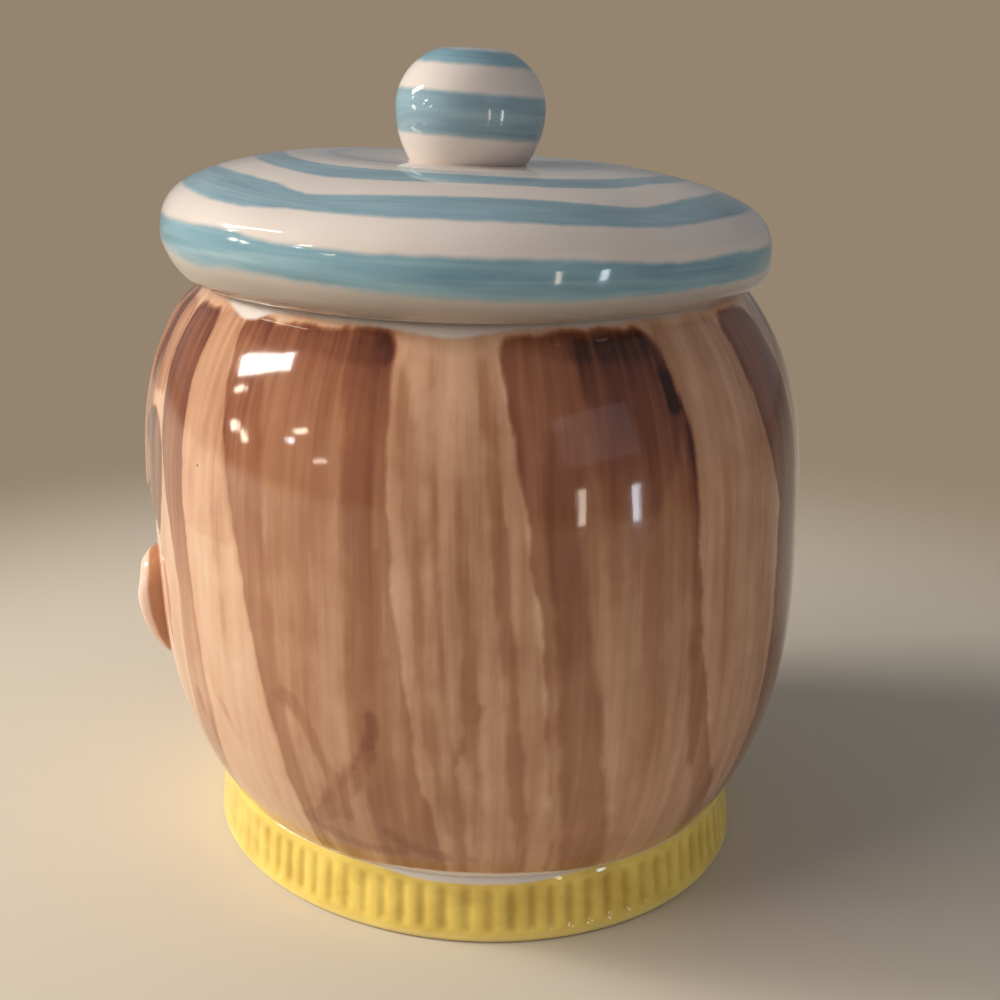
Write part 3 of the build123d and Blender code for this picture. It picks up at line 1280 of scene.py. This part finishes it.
    def coats(self, grid: HeadGrid) -> dict[str, Layer]:
        """The three coats of brown: the pulls of each, with the front hair's locks and the dabs.

        Args:
            grid: the head's grid.

        Returns:
            Inside distances, tones and dryness for each attribute that the finish reads.
        """
        locks = meet(grid.hair - 0.8, (89 - grid.aside) * grid.per_degree, 3.0)
        darker = 0.5 - 0.16 * grid.strand + 0.12 * smooth(grid.hair, 9, 0)
        pitch = self.lock_pitch
        beside = np.abs(np.mod(grid.swept + pitch / 2, pitch) - pitch / 2 - 0.35 * pitch) * grid.per_degree
        streaks = np.minimum(1.7 - beside, meet(grid.hair - 2.0, (84 - grid.aside) * grid.per_degree, 3.0))
        return {
            "coat_first": both_layers((locks, darker, 0.3), self.pulls(FIRST_PULLS, grid)),
            "coat_second": both_layers((streaks, 0.3, 0.3), self.pulls(SECOND_PULLS, grid)),
            "coat_third": both_layers(self.dabs(grid), self.pulls(THIRD_PULLS_AND_SHADE, grid)),
        }

    def eyes(self, grid: HeadGrid) -> tuple[Layer, Layer]:
        """Distances of the painted eyes, by plain ovals, arcs and short lines.

        An eye lies between two parabolas: its level plus or minus a height times 1 - (x/half)^2.

        Args:
            grid: the head's grid.

        Returns:
            White, iris and ink, then glint and brow.
        """
        local = np.abs(grid.across) - self.eye_across
        rise = grid.height - self.eye_level
        bow = 1 - (local / self.eye_half) ** 2
        lid = self.upper_lid * bow - rise
        white = np.minimum(lid, rise + self.lower_lid * bow) * 0.85
        from_pupil = np.hypot(local + 0.4, rise - 0.5)
        iris = np.minimum(self.iris_radius - from_pupil, white)
        pupil = np.minimum(self.pupil_radius - from_pupil, white)
        heavy = np.interp(local, (-self.eye_half, self.eye_half), (0.6, 1.1))
        lid_line = np.minimum(heavy - np.abs(lid) * 0.8, self.eye_half + 1.0 - np.abs(local))
        ink = np.maximum(pupil, lid_line)
        lashes = (
            ((5.6, 5.0), (7.4, 7.0), (8.4, 8.8)),
            ((8.2, 3.6), (10.6, 5.4), (12.2, 7.2)),
            ((10.4, 1.6), (13.2, 2.9), (15.2, 4.4)),
        )
        for lash in lashes:
            ink = np.maximum(ink, 0.62 - pulled_line(local, rise, lash))
        glint_across = grid.across - np.sign(grid.across) * self.eye_across + 2.0
        glint = 1.35 - np.hypot(glint_across, rise - 2.6)
        taper = np.interp(local, (-12, -4, 13), (1.4, 1.5, 0.8))
        brow = taper - pulled_line(local, rise, ((-12.0, 15.6), (0.0, 19.4), (13.0, 15.4)))
        crease = 0.5 - pulled_line(local, rise, ((-9.0, 6.4), (0.5, 9.6), (10.5, 5.6)))
        return (white, iris, ink), (glint, np.maximum(brow, crease))

    def mouth(self, grid: HeadGrid) -> Layer:
        """Distances of the painted lips, and of the fine lines of the mouth and the nostrils.

        The lips lie between two parabolas, and a bell round the middle dips the upper one.

        Args:
            grid: the head's grid.

        Returns:
            Lips and lines.
        """
        aside = np.abs(grid.across)
        lift = grid.height - self.mouth_level - (aside / self.mouth_half) ** 2
        smile = np.clip(1 - (aside / (self.mouth_half + 0.5)) ** 2, -1, 1)
        cupid = 4.2 * smile * (1 - 0.28 * bell(aside, 0, 3.2))
        lips = np.minimum(cupid - lift, lift + 5.0 * smile)
        line = np.minimum(0.6 - np.abs(lift), self.mouth_half - aside)
        nostrils = 1.2 - np.hypot((aside - 4.4) / 1.3, grid.height - 70.6)
        return lips, np.maximum(line, nostrils)

    def build(self) -> Piece:
        """Builds the shell and stores what its finish reads.

        A point is the oval plan at its height, moved outwards along the plan's normal by the relief.

        Returns:
            The head's object.
        """
        grid = self.grid()
        relief = self.relief(grid)
        angle = np.radians(grid.turn)
        normal = np.stack([np.cos(angle) * DEPTH_RATIO, np.sin(angle)], -1)
        normal = normal / np.linalg.norm(normal, axis=-1, keepdims=True)
        x, y = oval_plan(grid.half, grid.turn, grid.offset)
        points = np.stack([x + relief * normal[..., 0], y + relief * normal[..., 1], grid.height], -1)
        piece = grid_piece("head", points, closed_section=True)

        store(piece, "ground", *self.ground(grid))
        for name, layer in self.coats(grid).items():
            store(piece, name, *layer)
        lean = np.where(grid.aside < 100, grid.swept, grid.aside) * np.sign(grid.around)
        brush_x, brush_y = oval_plan(np.full(lean.shape, self.belly_half), lean + FACE)
        store(piece, "brush", brush_x, brush_y, grid.height)
        eyes, (glint, brow) = self.eyes(grid)
        lips, lines = self.mouth(grid)
        hidden = np.where((grid.aside < 60) & (grid.offset > -1), 0.0, FAR_OUTSIDE)
        store(piece, "eyes", *(distance + hidden for distance in eyes))
        features = (glint, np.maximum(brow, lines), lips)
        store(piece, "features", *(distance + hidden for distance in features))
        return piece


@dataclass
class Ear:
    """One ear: a dished shell with a rolled rim, stuck to the side of the head.

    Its height above the head rises over a quarter oval from the root to the rim's crest and
    falls into a dish in the middle, which opens towards the face.
    """

    side: int
    head: Head
    name: str
    half_deep: float = 12.5
    half_tall: float = 18.5
    standout: float = 7.3
    level: float = 74.5
    forward: float = 9.0
    crest: float = 0.64             # the rim's crest, as a share of the way from the middle out
    egg: float = 0.14               # the upper half is this much deeper, and the lower half less
    lean: float = 1.0
    root: float = 2.2               # the rim goes on this far into the head
    dish_height: float = 2.1
    fold_height: float = 1.3
    brown_depth: float = 2.8        # the brown on its back stops this far below the crest
    columns: int = 96
    rows: int = 44

    def build(self) -> Piece:
        """Builds the ear on a polar grid of rings and spokes.

        Returns:
            The ear's object.
        """
        rings = np.sin(np.linspace(0.02, 1, self.rows) * np.pi / 2) ** 0.9
        spokes = np.linspace(0, 360, self.columns, endpoint=False)
        ring, spoke = np.meshgrid(rings, spokes * self.side, indexing="ij")
        angle = np.radians(spoke)
        backward = np.cos(angle)
        upward = np.sin(angle)
        egg = 1 + self.egg * upward
        y = -self.forward + self.half_deep * egg * ring * backward + self.lean * upward * ring
        z = self.level + self.half_tall * ring * upward
        crest_height = np.interp(backward, (-1, -0.4, 0.2, 1), (0.34, 0.55, 0.95, 1.0)) * self.standout
        crest_height = crest_height * np.interp(upward, (-1, -0.5, 0, 0.4, 1), (0.5, 0.8, 0.97, 1.0, 0.78))
        flank = np.clip((ring - self.crest) / (1 - self.crest), 0, 1)
        outer = (crest_height + self.root) * np.sqrt(1 - flank**2.2) - self.root
        dish = smooth(ring, self.crest, 0.30)
        fold = self.fold_height * bell(ring, 0.40, 0.09) * smooth(backward, -0.3, 0.5)
        inner = crest_height + (self.dish_height - crest_height) * dish + fold
        lift = np.where(ring > self.crest, outer, inner)
        half = self.head.half_width(z)
        base = half * np.sqrt(1 - (y / (half * DEPTH_RATIO)) ** 2)
        points = np.stack([self.side * (base + lift), y, z], -1)
        last = self.side * (self.head.belly_half - 1.5 * self.root)
        middle = (self.side * (base[0].mean() + lift[0].mean()), -self.forward, self.level)
        end = (last, -self.forward, self.level)
        piece = grid_piece(self.name, points, start_pole=middle, end_pole=end)
        back = np.minimum(crest_height - self.brown_depth - lift, (y + self.forward + 3.0) * 0.6)
        back = back + np.where(ring > self.crest, 0, FAR_OUTSIDE)
        store(piece, "ear", back, 0.5 * dish * smooth(lift, 6, 2), ring)
        return piece


# ---------------------------------------------------------------- the collar


@dataclass
class Collar:
    """The jar's foot: a spreading collar with sunk flutes, closed below by the floor.

    A flute sinks the surface by its depth times a rounded share of its phase round the oval,
    and fades out below the neck line and above the foot.
    """

    spread: float = 1.9
    rounding: float = 1.5
    floor: float = 6.0
    floor_rounding: float = 3.0
    flutes: int = 92
    flute_depth: float = 0.85
    flute_low: float = 3.6
    flute_high: float = 16.2
    worn_bearing: float = 2.0       # the mould was worn here, and the flutes are shallow
    worn_reach: float = 24.0
    columns: int = 1104
    outer_rows: int = 44

    def arc_share(self, turns: Array) -> Array:
        """Share of the oval's outline passed at each bearing, from a running sum of its length.

        Args:
            turns: bearings in degrees.

        Returns:
            Shares from 0 at the face to 1 after a whole turn.
        """
        fine = np.radians(np.linspace(-90, 270, 7201))
        passed = running_share(np.hypot(np.sin(fine), DEPTH_RATIO * np.cos(fine)))
        return np.interp(turns, np.degrees(fine), passed)

    def build(self) -> Piece:
        """Builds the collar from the middle of its underside round to the middle of its floor.

        Returns:
            The collar's object.
        """
        r = self.rounding
        low = rounded_corner((self.spread - r, r), r, -90)
        rise = np.linspace(r, COLLAR_HEIGHT - r, self.outer_rows)[1:-1]
        outward = self.spread * (1 - rise / COLLAR_HEIGHT)
        high = rounded_corner((-r, COLLAR_HEIGHT - r), r, 0)
        inside = np.array([(-WALL, COLLAR_HEIGHT), (-WALL, 14), (-WALL, 9)])
        corner = self.floor_rounding
        floor = rounded_corner((-WALL - corner, self.floor + corner), corner, -90)[::-1]
        under = np.array([(-74.0, 0.0), (-50.0, 0.0), (-12.0, 0.0)])
        middle = np.array([(-20.0, self.floor), (-50.0, self.floor), (-74.0, self.floor)])
        wall = np.stack([outward, rise], -1)
        path = np.concatenate([under, low, wall, high, inside, floor, middle])
        turns = bearings(self.columns)
        offset, turn = np.meshgrid(path[:, 0], turns, indexing="ij")
        height = np.broadcast_to(path[:, 1:2], offset.shape)
        phase = self.arc_share(turns) * self.flutes + 0.35 * wander(turns, 3, (3, 5, 8, 13))
        wave = 0.5 - 0.5 * np.cos(2 * np.pi * phase)
        worn = bell(turns, self.worn_bearing, self.worn_reach)
        strength = 0.78 + 0.3 * wander(turns, 4, (4, 7, 11)) - 0.62 * worn
        shape = wave**1.6 * np.clip(strength, 0.1, 1)
        window = smooth(height, self.flute_low - 1.2, self.flute_low + 1.6)
        window = window * smooth(height, self.flute_high + 1.6, self.flute_high - 1.6)
        sunk = shape * window * (offset > -r)
        x, y = oval_plan(np.full(offset.shape, NECK_HALF), turn, offset - self.flute_depth * sunk)
        points = np.stack([x, y, height], -1)
        piece = grid_piece("collar", points, start_pole=(0, 0, 0), end_pole=(0, 0, self.floor))
        line = COLLAR_HEIGHT - 0.2 + 0.4 * wander(turn, 8) - 1.7 * neck_line(turn)
        seen = np.where(offset > -r, -FAR_OUTSIDE, FAR_OUTSIDE)
        painted = np.minimum.reduce([line - height, height - 0.3, seen])
        store(piece, "collar", painted, 0.44 * sunk, 0.6 * smooth(height, 3.4, 0.6))
        return piece


# ---------------------------------------------------------------- the lid


@dataclass(frozen=True)
class Band:
    """One painted band, with the places of its edges along the surface at each of BAND_BEARINGS."""

    inner: tuple[float, ...]
    outer: tuple[float, ...]
    tone: float

    def inside(self, along: Array, turn: Array) -> Array:
        """How far inside the band a place lies.

        Args:
            along: distances from the middle of the top, or heights, in millimetres.
            turn: bearings in degrees.

        Returns:
            Distances, positive within the band.
        """
        edges = [np.interp(turn, BAND_BEARINGS, e, period=360) for e in (self.inner, self.outer)]
        return np.minimum(along - edges[0], edges[1] - along)


# Bearings where a band's edges are given: these bands were pulled by hand and waver a little
BAND_BEARINGS = (0, 20, 30, 40, 60, 90, 110, 125, 145, 165, 230, 300)


@dataclass
class Cap:
    """The hollow cap: a rolled brim and a flat crown, pinched by shallow dents into soft lobes.

    The crown's meridian is half (cos u)^(2/f) wide and tall (sin u)^(2/f) high, sunk round the
    knob by dish e^-((r/reach)^p), and the underside is a quarter oval from the brim in to the
    seat. A dent moves the surface inwards along its normal. The casting leans, more at the crown
    than at the brim, and the lean fades out below the brim so that the seat stays level.
    """

    wall: float = 5.0
    brim_half: float = 90.0
    brim_height: float = 7.5
    crown_height: float = 30.8
    fullness: float = 2.88
    top_angle: float = 87.5
    dish: float = 2.6
    dish_reach: float = 38.0
    dish_power: float = 3.2
    brim_lean: float = 2.1
    crown_lean: float = 3.3
    crown_pitch: float = 0.47
    shift: float = 2.75
    drain_half: float = 5.0
    lobes: int = 5
    first_dent: float = 39.0
    dent: float = 2.5
    dent_softness: float = 0.3
    # How much of its depth a dent has, at places along the surface
    dent_along: tuple[float, ...] = (52, 78, 92, 103, 112.5)
    dent_share: tuple[float, ...] = (0, 1, 0.4, 1, 0.12)
    columns: int = 360
    bands: tuple[Band, ...] = (
        Band(
            (37, 38, 39, 39, 39, 38, 36, 35, 36, 37, 37, 37),
            (42, 43.5, 44.4, 44.4, 44, 43, 42, 40, 40, 41, 42, 42),
            0.42,
        ),
        Band(
            (53.5, 55.5, 56.2, 55.7, 56.2, 56.2, 55.5, 54.8, 56.5, 61, 57, 55),
            (62.8, 64.3, 65, 65.3, 65.5, 64.9, 63.2, 61.8, 63.5, 65, 64, 63),
            0.92,
        ),
        Band(
            (73.4, 72.8, 73.2, 76, 75, 74.3, 75.3, 72.9, 73.2, 76.5, 74, 75),
            (85, 86.4, 86.2, 84.2, 85.3, 85.3, 85.2, 84, 84.3, 84.5, 85, 84),
            0.92,
        ),
        Band(
            (94.9, 93.9, 93.4, 94.9, 94.9, 94.4, 95.7, 94.6, 95.2, 94.8, 95, 94.5),
            (101.7, 103.3, 102.6, 102.8, 103, 103.3, 103.3, 102.3, 101.2, 101.5, 102.5, 102.5),
            1.0,
        ),
    )

    def meridian(self, inward: float, foot: float, count: int) -> Array:
        """Half a section of the cap, from its top flat out over the brim and in to the foot.

        Args:
            inward: distance inside the outer surface.
            foot: half-width where the underside ends.
            count: number of points on the crown.

        Returns:
            Points, one row each, as half-width and height above the seat.
        """
        power = 2 / self.fullness
        turn = np.radians(np.linspace(self.top_angle, 0, count))
        half = self.brim_half - inward
        tall = self.crown_height - self.brim_height - inward
        crown = np.stack([half * np.cos(turn) ** power, self.brim_height + tall * np.sin(turn) ** power], -1)
        fall = np.radians(np.linspace(0, 90, count // 3))[1:]
        reach = half - foot
        under = np.stack(
            [foot + reach * np.cos(fall), self.brim_height - (self.brim_height - inward) * np.sin(fall)], -1
        )
        flat = np.stack([np.linspace(self.drain_half, crown[0, 0], 8), np.full(8, crown[0, 1])], -1)
        path = np.concatenate([flat[:-1], crown, under])
        sunk = self.dish * bell(path[:, 0], 0, self.dish_reach, self.dish_power)
        return path - np.stack([0 * sunk, sunk], -1)

    def leaning(self, points: Array, share: Array) -> Array:
        """Leans the casting about the low side of the seat by a share of the full lean.

        Args:
            points: places above the seat, in millimetres.
            share: share of the lean and the shift at each point.

        Returns:
            Places in the jar's frame, in millimetres.
        """
        up = np.clip((points[..., 2] - self.brim_height) / (self.crown_height - self.brim_height), 0, 1)
        angle = np.radians(self.brim_lean + (self.crown_lean - self.brim_lean) * up) * share
        x = points[..., 0] + RIM_HALF + self.shift * share
        y = points[..., 1]
        z = points[..., 2]
        across = x * np.cos(angle) - z * np.sin(angle) - RIM_HALF
        rise = x * np.sin(angle) + z * np.cos(angle) + y * radians(self.crown_pitch) * up * share
        return np.stack([across, y, rise + RIM_HEIGHT], -1)

    def section(self) -> tuple[Array, Array]:
        """The cap's closed section: in over the outside, out again inside, and the seat.

        Returns:
            Points, one row each, as half-width and height above the seat, and their distances
            from the middle along the outer surface, which are below 0 on the inside.
        """
        outer = self.meridian(0, RIM_HALF, 96)
        mouth = RIM_HALF - WALL - RING_PLAY - RING_WALL
        inner = self.meridian(self.wall, mouth, 40)
        seat = np.array([(mouth, 1.0), (mouth + 1, 0.0), (RIM_HALF - 2.0, 0.0)])
        steps = np.hypot(*np.diff(outer, axis=0).T)
        along = np.concatenate([[self.drain_half], self.drain_half + np.cumsum(steps)])
        unpainted = np.full(len(inner) + len(seat), -50.0)
        return np.concatenate([outer[::-1], inner, seat]), np.concatenate([along[::-1], unpainted])

    def inwards(self, along: Array, turn: Array) -> Array:
        """How far the surface is moved inwards: by the dents between the lobes, and a slow wobble.

        A lobe is the root of s^2 (1 - k^2) + k^2, with k the softness and s the sine of an angle
        that is 0 at one dent and 180 degrees at the next. A dent is what the lobe lacks of 1.

        Args:
            along: distances along the outer surface, in millimetres.
            turn: bearings in degrees.

        Returns:
            Millimetres.
        """
        phase = np.radians(turn - self.first_dent) * self.lobes / 2
        keep = self.dent_softness**2
        lobe = np.sqrt(np.sin(phase) ** 2 * (1 - keep) + keep)
        dents = self.dent * (1 - lobe) * np.interp(along, self.dent_along, self.dent_share)
        slow = 0.3 * wander(turn, 31, (1, 2, 3))
        return dents + slow * smooth(along, 45, 75) * smooth(along, 112, 103)

    def build(self) -> Piece:
        """Builds the cap as one closed section carried round the oval.

        The dents move each point inwards along the section's normal, its tangent turned by 90.

        Returns:
            The cap's object.
        """
        path, distances = self.section()
        tangent = np.gradient(path, axis=0)
        tangent = tangent / np.linalg.norm(tangent, axis=1, keepdims=True)
        along, turn = np.meshgrid(distances, bearings(self.columns), indexing="ij")
        inwards = self.inwards(along, turn)
        radius = path[:, :1] - inwards * tangent[:, 1:]
        height = path[:, 1:] + inwards * tangent[:, :1]
        angle = np.radians(turn)
        x, y = radius * np.cos(angle), radius * DEPTH_RATIO * np.sin(angle)
        share = np.broadcast_to(smooth(path[:, 1], 0, self.brim_height)[:, None], x.shape)
        points = self.leaning(np.stack([x, y, height], -1), share)
        points[..., 2] = np.maximum(points[..., 2], RIM_HEIGHT)
        piece = grid_piece("cap", points, closed_section=True)

        layer: Layer = (np.full(turn.shape, FAR_OUTSIDE), 0.0)
        for band in self.bands:
            layer = both_layers((band.inside(along, turn), band.tone), layer)
        store(piece, "band", *layer, along)
        store(piece, "turning", self.brim_half * np.cos(angle), self.brim_half * np.sin(angle), along)
        return piece


@dataclass
class LocatingRing:
    """The oval ring under the lid that keeps it in the mouth, with rounded lower edges."""

    depth: float = 8.0
    rounding: float = 1.2
    columns: int = 240

    def build(self) -> Piece:
        """Builds the ring as a closed section carried round the oval.

        Returns:
            The ring's object.
        """
        outer = -WALL - RING_PLAY
        inner = outer - RING_WALL
        low = RIM_HEIGHT - self.depth
        r = self.rounding
        up = np.array([(outer, RIM_HEIGHT - 2.0), (outer, RIM_HEIGHT), (inner, RIM_HEIGHT)])
        inner_corner = rounded_corner((inner + r, low + r), r, 180)
        outer_corner = rounded_corner((outer - r, low + r), r, 270)
        path = np.concatenate([up, inner_corner, outer_corner])
        turns = bearings(self.columns)
        offset, turn = np.meshgrid(path[:, 0], turns, indexing="ij")
        height = np.broadcast_to(path[:, 1:], offset.shape)
        x, y = oval_plan(np.full(offset.shape, RIM_HALF), turn, offset)
        return grid_piece("ring", np.stack([x, y, height], -1), closed_section=True)


@dataclass
class Knob:
    """The egg on the crown, with a flattened top, banded by hand a little askew.

    Its section is half (cos v)^(2/f) wide, and rises or falls by its own height times
    (sin v)^(2/f) above and below its middle.
    """

    cap: Cap
    half: float = 22.4
    above: float = 19.0
    below: float = 24.5
    stand: float = 15.7             # its middle is this far over the sunk crown
    fullness: float = 2.06
    flat: float = 17.4              # the top is rubbed flat at this height over the middle
    aside: float = -0.6
    tilt: float = 1.7
    columns: int = 160
    rows: int = 110
    # Each band's lower and upper edge over the middle, and its tone
    bands: tuple[tuple[float, float, float], ...] = ((-8.1, 4.5, 0.9), (12.4, 16.7, 1.0))

    def build(self) -> Piece:
        """Builds the knob from its foot on the crown up to the middle of its top.

        Returns:
            The knob's object.
        """
        lowest = -np.arcsin((self.stand + 0.6) / self.below)
        rise = np.linspace(lowest, np.pi / 2 * 0.985, self.rows)
        power = 2 / self.fullness
        radius = self.half * np.cos(rise) ** power
        reach = np.where(rise < 0, self.below, self.above)
        level = reach * np.sign(rise) * np.abs(np.sin(rise)) ** power
        level = meet(level, np.full(level.shape, self.flat), 1.6)
        turns = np.linspace(0, 360, self.columns, endpoint=False)
        half, turn = np.meshgrid(radius, turns, indexing="ij")
        height = np.broadcast_to(level[:, None], half.shape)
        angle = np.radians(turn)
        x, y = half * np.cos(angle), half * np.sin(angle)
        middle = self.cap.crown_height - self.cap.dish + self.stand
        local = np.stack([x + self.aside, y, height + middle], -1)
        points = self.cap.leaning(local, np.ones(half.shape))
        ends = np.array([(self.aside, 0.0, middle - self.stand - 1), (self.aside, 0.0, middle + self.flat)])
        heel, tip = self.cap.leaning(ends, np.ones(2))
        piece = grid_piece("ball_knob", points, start_pole=tuple(heel), end_pole=tuple(tip))
        askew = height - np.tan(np.radians(self.tilt)) * x
        layer: Layer = (np.full(half.shape, FAR_OUTSIDE), 1.0)
        for number, (low, high, tone) in enumerate(self.bands):
            inside = np.minimum(askew - low - 0.25 * wander(turn, number), high - askew)
            layer = both_layers((inside, tone), layer)
        store(piece, "band", *layer, askew)
        store(piece, "turning", x, y, askew)
        return piece


# ---------------------------------------------------------------- the studio


@dataclass(frozen=True)
class Lamp:
    """A rectangular area lamp that looks at a point of the jar."""

    name: str
    place: tuple[float, float, float]
    target: tuple[float, float, float]
    size: tuple[float, float]
    radiance: float
    colour: str = "ffffff"
    mirrored: bool = True           # whether the glaze mirrors it
    roll: float = 0.0               # turned about its own axis by this many degrees

    def build(self) -> None:
        """Adds the lamp. Its power is its radiance times pi times its area."""
        data = bpy.data.lights.new(self.name, "AREA")
        data.shape = "RECTANGLE"
        data.size, data.size_y = self.size
        data.energy = self.radiance * np.pi * self.size[0] * self.size[1]
        data.color = linear(self.colour)[:3]
        lamp = bpy.data.objects.new(self.name, data)
        aim = Vector(self.target) - Vector(self.place)
        rolled = Quaternion((0, 0, 1), radians(self.roll))
        lamp.rotation_euler = (aim.to_track_quat("-Z", "Y") @ rolled).to_euler()
        lamp.location = self.place
        lamp.visible_camera = False
        lamp.visible_glossy = self.mirrored
        bpy.context.scene.collection.objects.link(lamp)


WINDOW = (1.281, -0.54, 0.815)
SHOULDER = (0.072, 0.061, 0.16)         # the place on the hair that mirrors the window

# The glaze mirrors every lamp but window_light and window_side, which only light the jar
LAMPS = (
    Lamp("window", WINDOW, SHOULDER, (0.54, 0.15), 25.0, "fffaf2", True, 41.0),
    Lamp("window_light", WINDOW, SHOULDER, (0.62, 0.34), 15.5, "fff8ee", False),
    Lamp("window_side", (1.7, 0.15, 1.3), (0.0, 0.0, 0.1), (1.6, 1.6), 2.9, "fff6ec", False),
    Lamp("pane_low", (1.428, -0.586, 0.278), (0.081, 0.059, 0.145), (0.08, 0.07), 22.0, "fff0d8", True, 30.0),
    Lamp("pane_right", (1.52, 0.078, 0.516), (0.067, 0.08, 0.147), (0.15, 0.05), 22.0, "fff0d8", True, 30.0),
    Lamp("pane_sill", (1.53, 0.34, 0.316), (0.062, 0.085, 0.14), (0.14, 0.025), 20.0, "fff0d8", True, 24.0),
    Lamp("pane_top", (1.348, -0.643, 0.543), (0.081, 0.059, 0.154), (0.04, 0.1), 22.0, "fff0d8", True, -35.0),
    Lamp("pane_mid", (1.474, -0.47, 0.249), (0.077, 0.066, 0.144), (0.05, 0.09), 22.0, "fff0d8", True, 40.0),
    Lamp("pane_foot", (1.545, 0.002, 0.391), (0.067, 0.08, 0.143), (0.07, 0.05), 22.0, "f4f4ff", True, 20.0),
    Lamp("far_door", (-0.23, 0.98, 0.12), (0.003, 0.112, 0.13), (0.042, 0.2), 11.0, "ffe9d6"),
    Lamp("far_window", (-0.55, 0.82, 0.09), (-0.012, 0.112, 0.13), (0.06, 0.19), 13.0, "eaf2ff"),
    Lamp("far_wall", (-0.42, 1.0, 0.62), (-0.01, 0.112, 0.14), (0.6, 0.45), 0.45, "e6e2f2"),
)


@dataclass
class Studio:
    """A plain pale floor that fades into a pale room, soft lamps, and the camera."""

    lens: float = 57.6
    sensor: float = 36.0
    camera_place: tuple[float, float, float] = (0.12682, 0.4733, 0.24255)
    pitch: float = 16.1
    heading: float = 16.08          # the view direction's angle from -Y towards -X
    floor_radius: float = 8.0
    floor_drop: float = 0.02        # millimetres below the jar's base
    fade_start: float = 0.2
    fade_end: float = 0.5
    floor_colour: str = "dcd3c2"
    room_colour: str = "95846f"
    light_colour: str = "eef0f2"
    room_light: float = 0.235

    def camera(self) -> None:
        """Adds the camera, level from side to side."""
        data = bpy.data.cameras.new("camera")
        data.sensor_width = self.sensor
        data.lens = self.lens
        data.clip_start = 0.01
        camera = bpy.data.objects.new("camera", data)
        flat = cos(radians(self.pitch))
        turn = radians(self.heading)
        aim = Vector((-sin(turn) * flat, -cos(turn) * flat, -sin(radians(self.pitch))))
        camera.location = self.camera_place
        camera.rotation_euler = aim.to_track_quat("-Z", "Y").to_euler()
        bpy.context.scene.collection.objects.link(camera)
        bpy.context.scene.camera = camera

    def floor(self) -> None:
        """Adds the floor: a flat disc of rings and spokes, painted wood that fades into the room."""
        rings = np.array([0.3, 1.0, 3.0, self.floor_radius]) / MM
        ring, spoke = np.meshgrid(rings, np.radians(np.arange(0, 360, 5)), indexing="ij")
        level = np.full(ring.shape, -self.floor_drop)
        points = np.stack([ring * np.cos(spoke), ring * np.sin(spoke), level], -1)
        floor = grid_piece("floor", points[::-1], end_pole=(0, 0, -self.floor_drop))
        material = bpy.data.materials.new("pale_painted_floor")
        tree = empty_tree(material)
        place = add_node(tree, "ShaderNodeTexCoord").outputs["Object"]
        far = add_node(tree, "ShaderNodeVectorMath", {0: place}, operation="LENGTH").outputs["Value"]
        span = {"Value": far, "From Min": self.fade_start, "From Max": self.fade_end}
        fade = add_node(tree, "ShaderNodeMapRange", span, interpolation_type="SMOOTHSTEP").outputs[0]
        paint = add_node(
            tree, "ShaderNodeBsdfPrincipled", {"Base Color": linear(self.floor_colour), "Roughness": 0.6}
        )
        room = add_node(tree, "ShaderNodeEmission", {"Color": linear(self.room_colour), "Strength": 1.0})
        rays = add_node(tree, "ShaderNodeLightPath").outputs["Is Camera Ray"]
        mask = add_node(tree, "ShaderNodeMath", {0: fade, 1: rays}, operation="MULTIPLY").outputs[0]
        mixed = add_node(tree, "ShaderNodeMixShader", {0: mask, 1: paint.outputs[0], 2: room.outputs[0]})
        add_node(tree, "ShaderNodeOutputMaterial", {"Surface": mixed.outputs[0]})
        floor.data.materials.append(material)

    def room(self) -> None:
        """Sets the room: an even light, which the glaze also mirrors, and a pale backdrop for the camera."""
        world = bpy.data.worlds.new("room")
        bpy.context.scene.world = world
        tree = empty_tree(world)
        light = {"Color": linear(self.light_colour), "Strength": self.room_light}
        lit = add_node(tree, "ShaderNodeBackground", light)
        seen = add_node(tree, "ShaderNodeBackground", {"Color": linear(self.room_colour), "Strength": 1.0})
        rays = add_node(tree, "ShaderNodeLightPath")
        mixed = {0: rays.outputs["Is Camera Ray"], 1: lit.outputs[0], 2: seen.outputs[0]}
        shown = add_node(tree, "ShaderNodeMixShader", mixed)
        add_node(tree, "ShaderNodeOutputWorld", {"Surface": shown.outputs[0]})

    def build(self) -> None:
        """Sets up the camera, the floor, the room and the lamps."""
        self.camera()
        self.floor()
        self.room()
        for lamp in LAMPS:
            lamp.build()
        bpy.context.scene.view_settings.view_transform = "Standard"


def main() -> None:
    """Builds and dresses the jar and the lid, then the studio."""
    logging.basicConfig(level=logging.INFO, format="%(name)s: %(message)s")
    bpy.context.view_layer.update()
    head = Head()
    cap = Cap()
    hair = BrushedHair("brushed_hair_earthenware").material()
    banding = BlueBanding("blue_banded_earthenware").material()
    ears = SkinAndHair("pink_ear_earthenware").material()
    yellow = YellowCollar("yellow_collar_earthenware").material()
    plain = Finish("cream_glazed_earthenware").material()
    face = ("head_shell", "nose", "lips")
    front_hair = ("fringe_left", "fringe_right", "temple_lock_left", "temple_lock_right")
    dress(head.build(), hair, Body.JAR, Slot.HAIR, *face, *front_hair)
    dress(Collar().build(), yellow, Body.JAR, Slot.COLLAR, "neck_collar")
    dress(Ear(1, head, "left_ear").build(), ears, Body.JAR, Slot.SKIN, "ear_left")
    dress(Ear(-1, head, "right_ear").build(), ears, Body.JAR, Slot.SKIN, "ear_right")
    dress(cap.build(), banding, Body.LID, Slot.CAP, "cap_shell")
    dress(LocatingRing().build(), plain, Body.LID, Slot.CAP, "locating_ring")
    dress(Knob(cap).build(), banding, Body.LID, Slot.CAP, "knob")
    Studio().build()


if __name__ == "__main__":
    main()
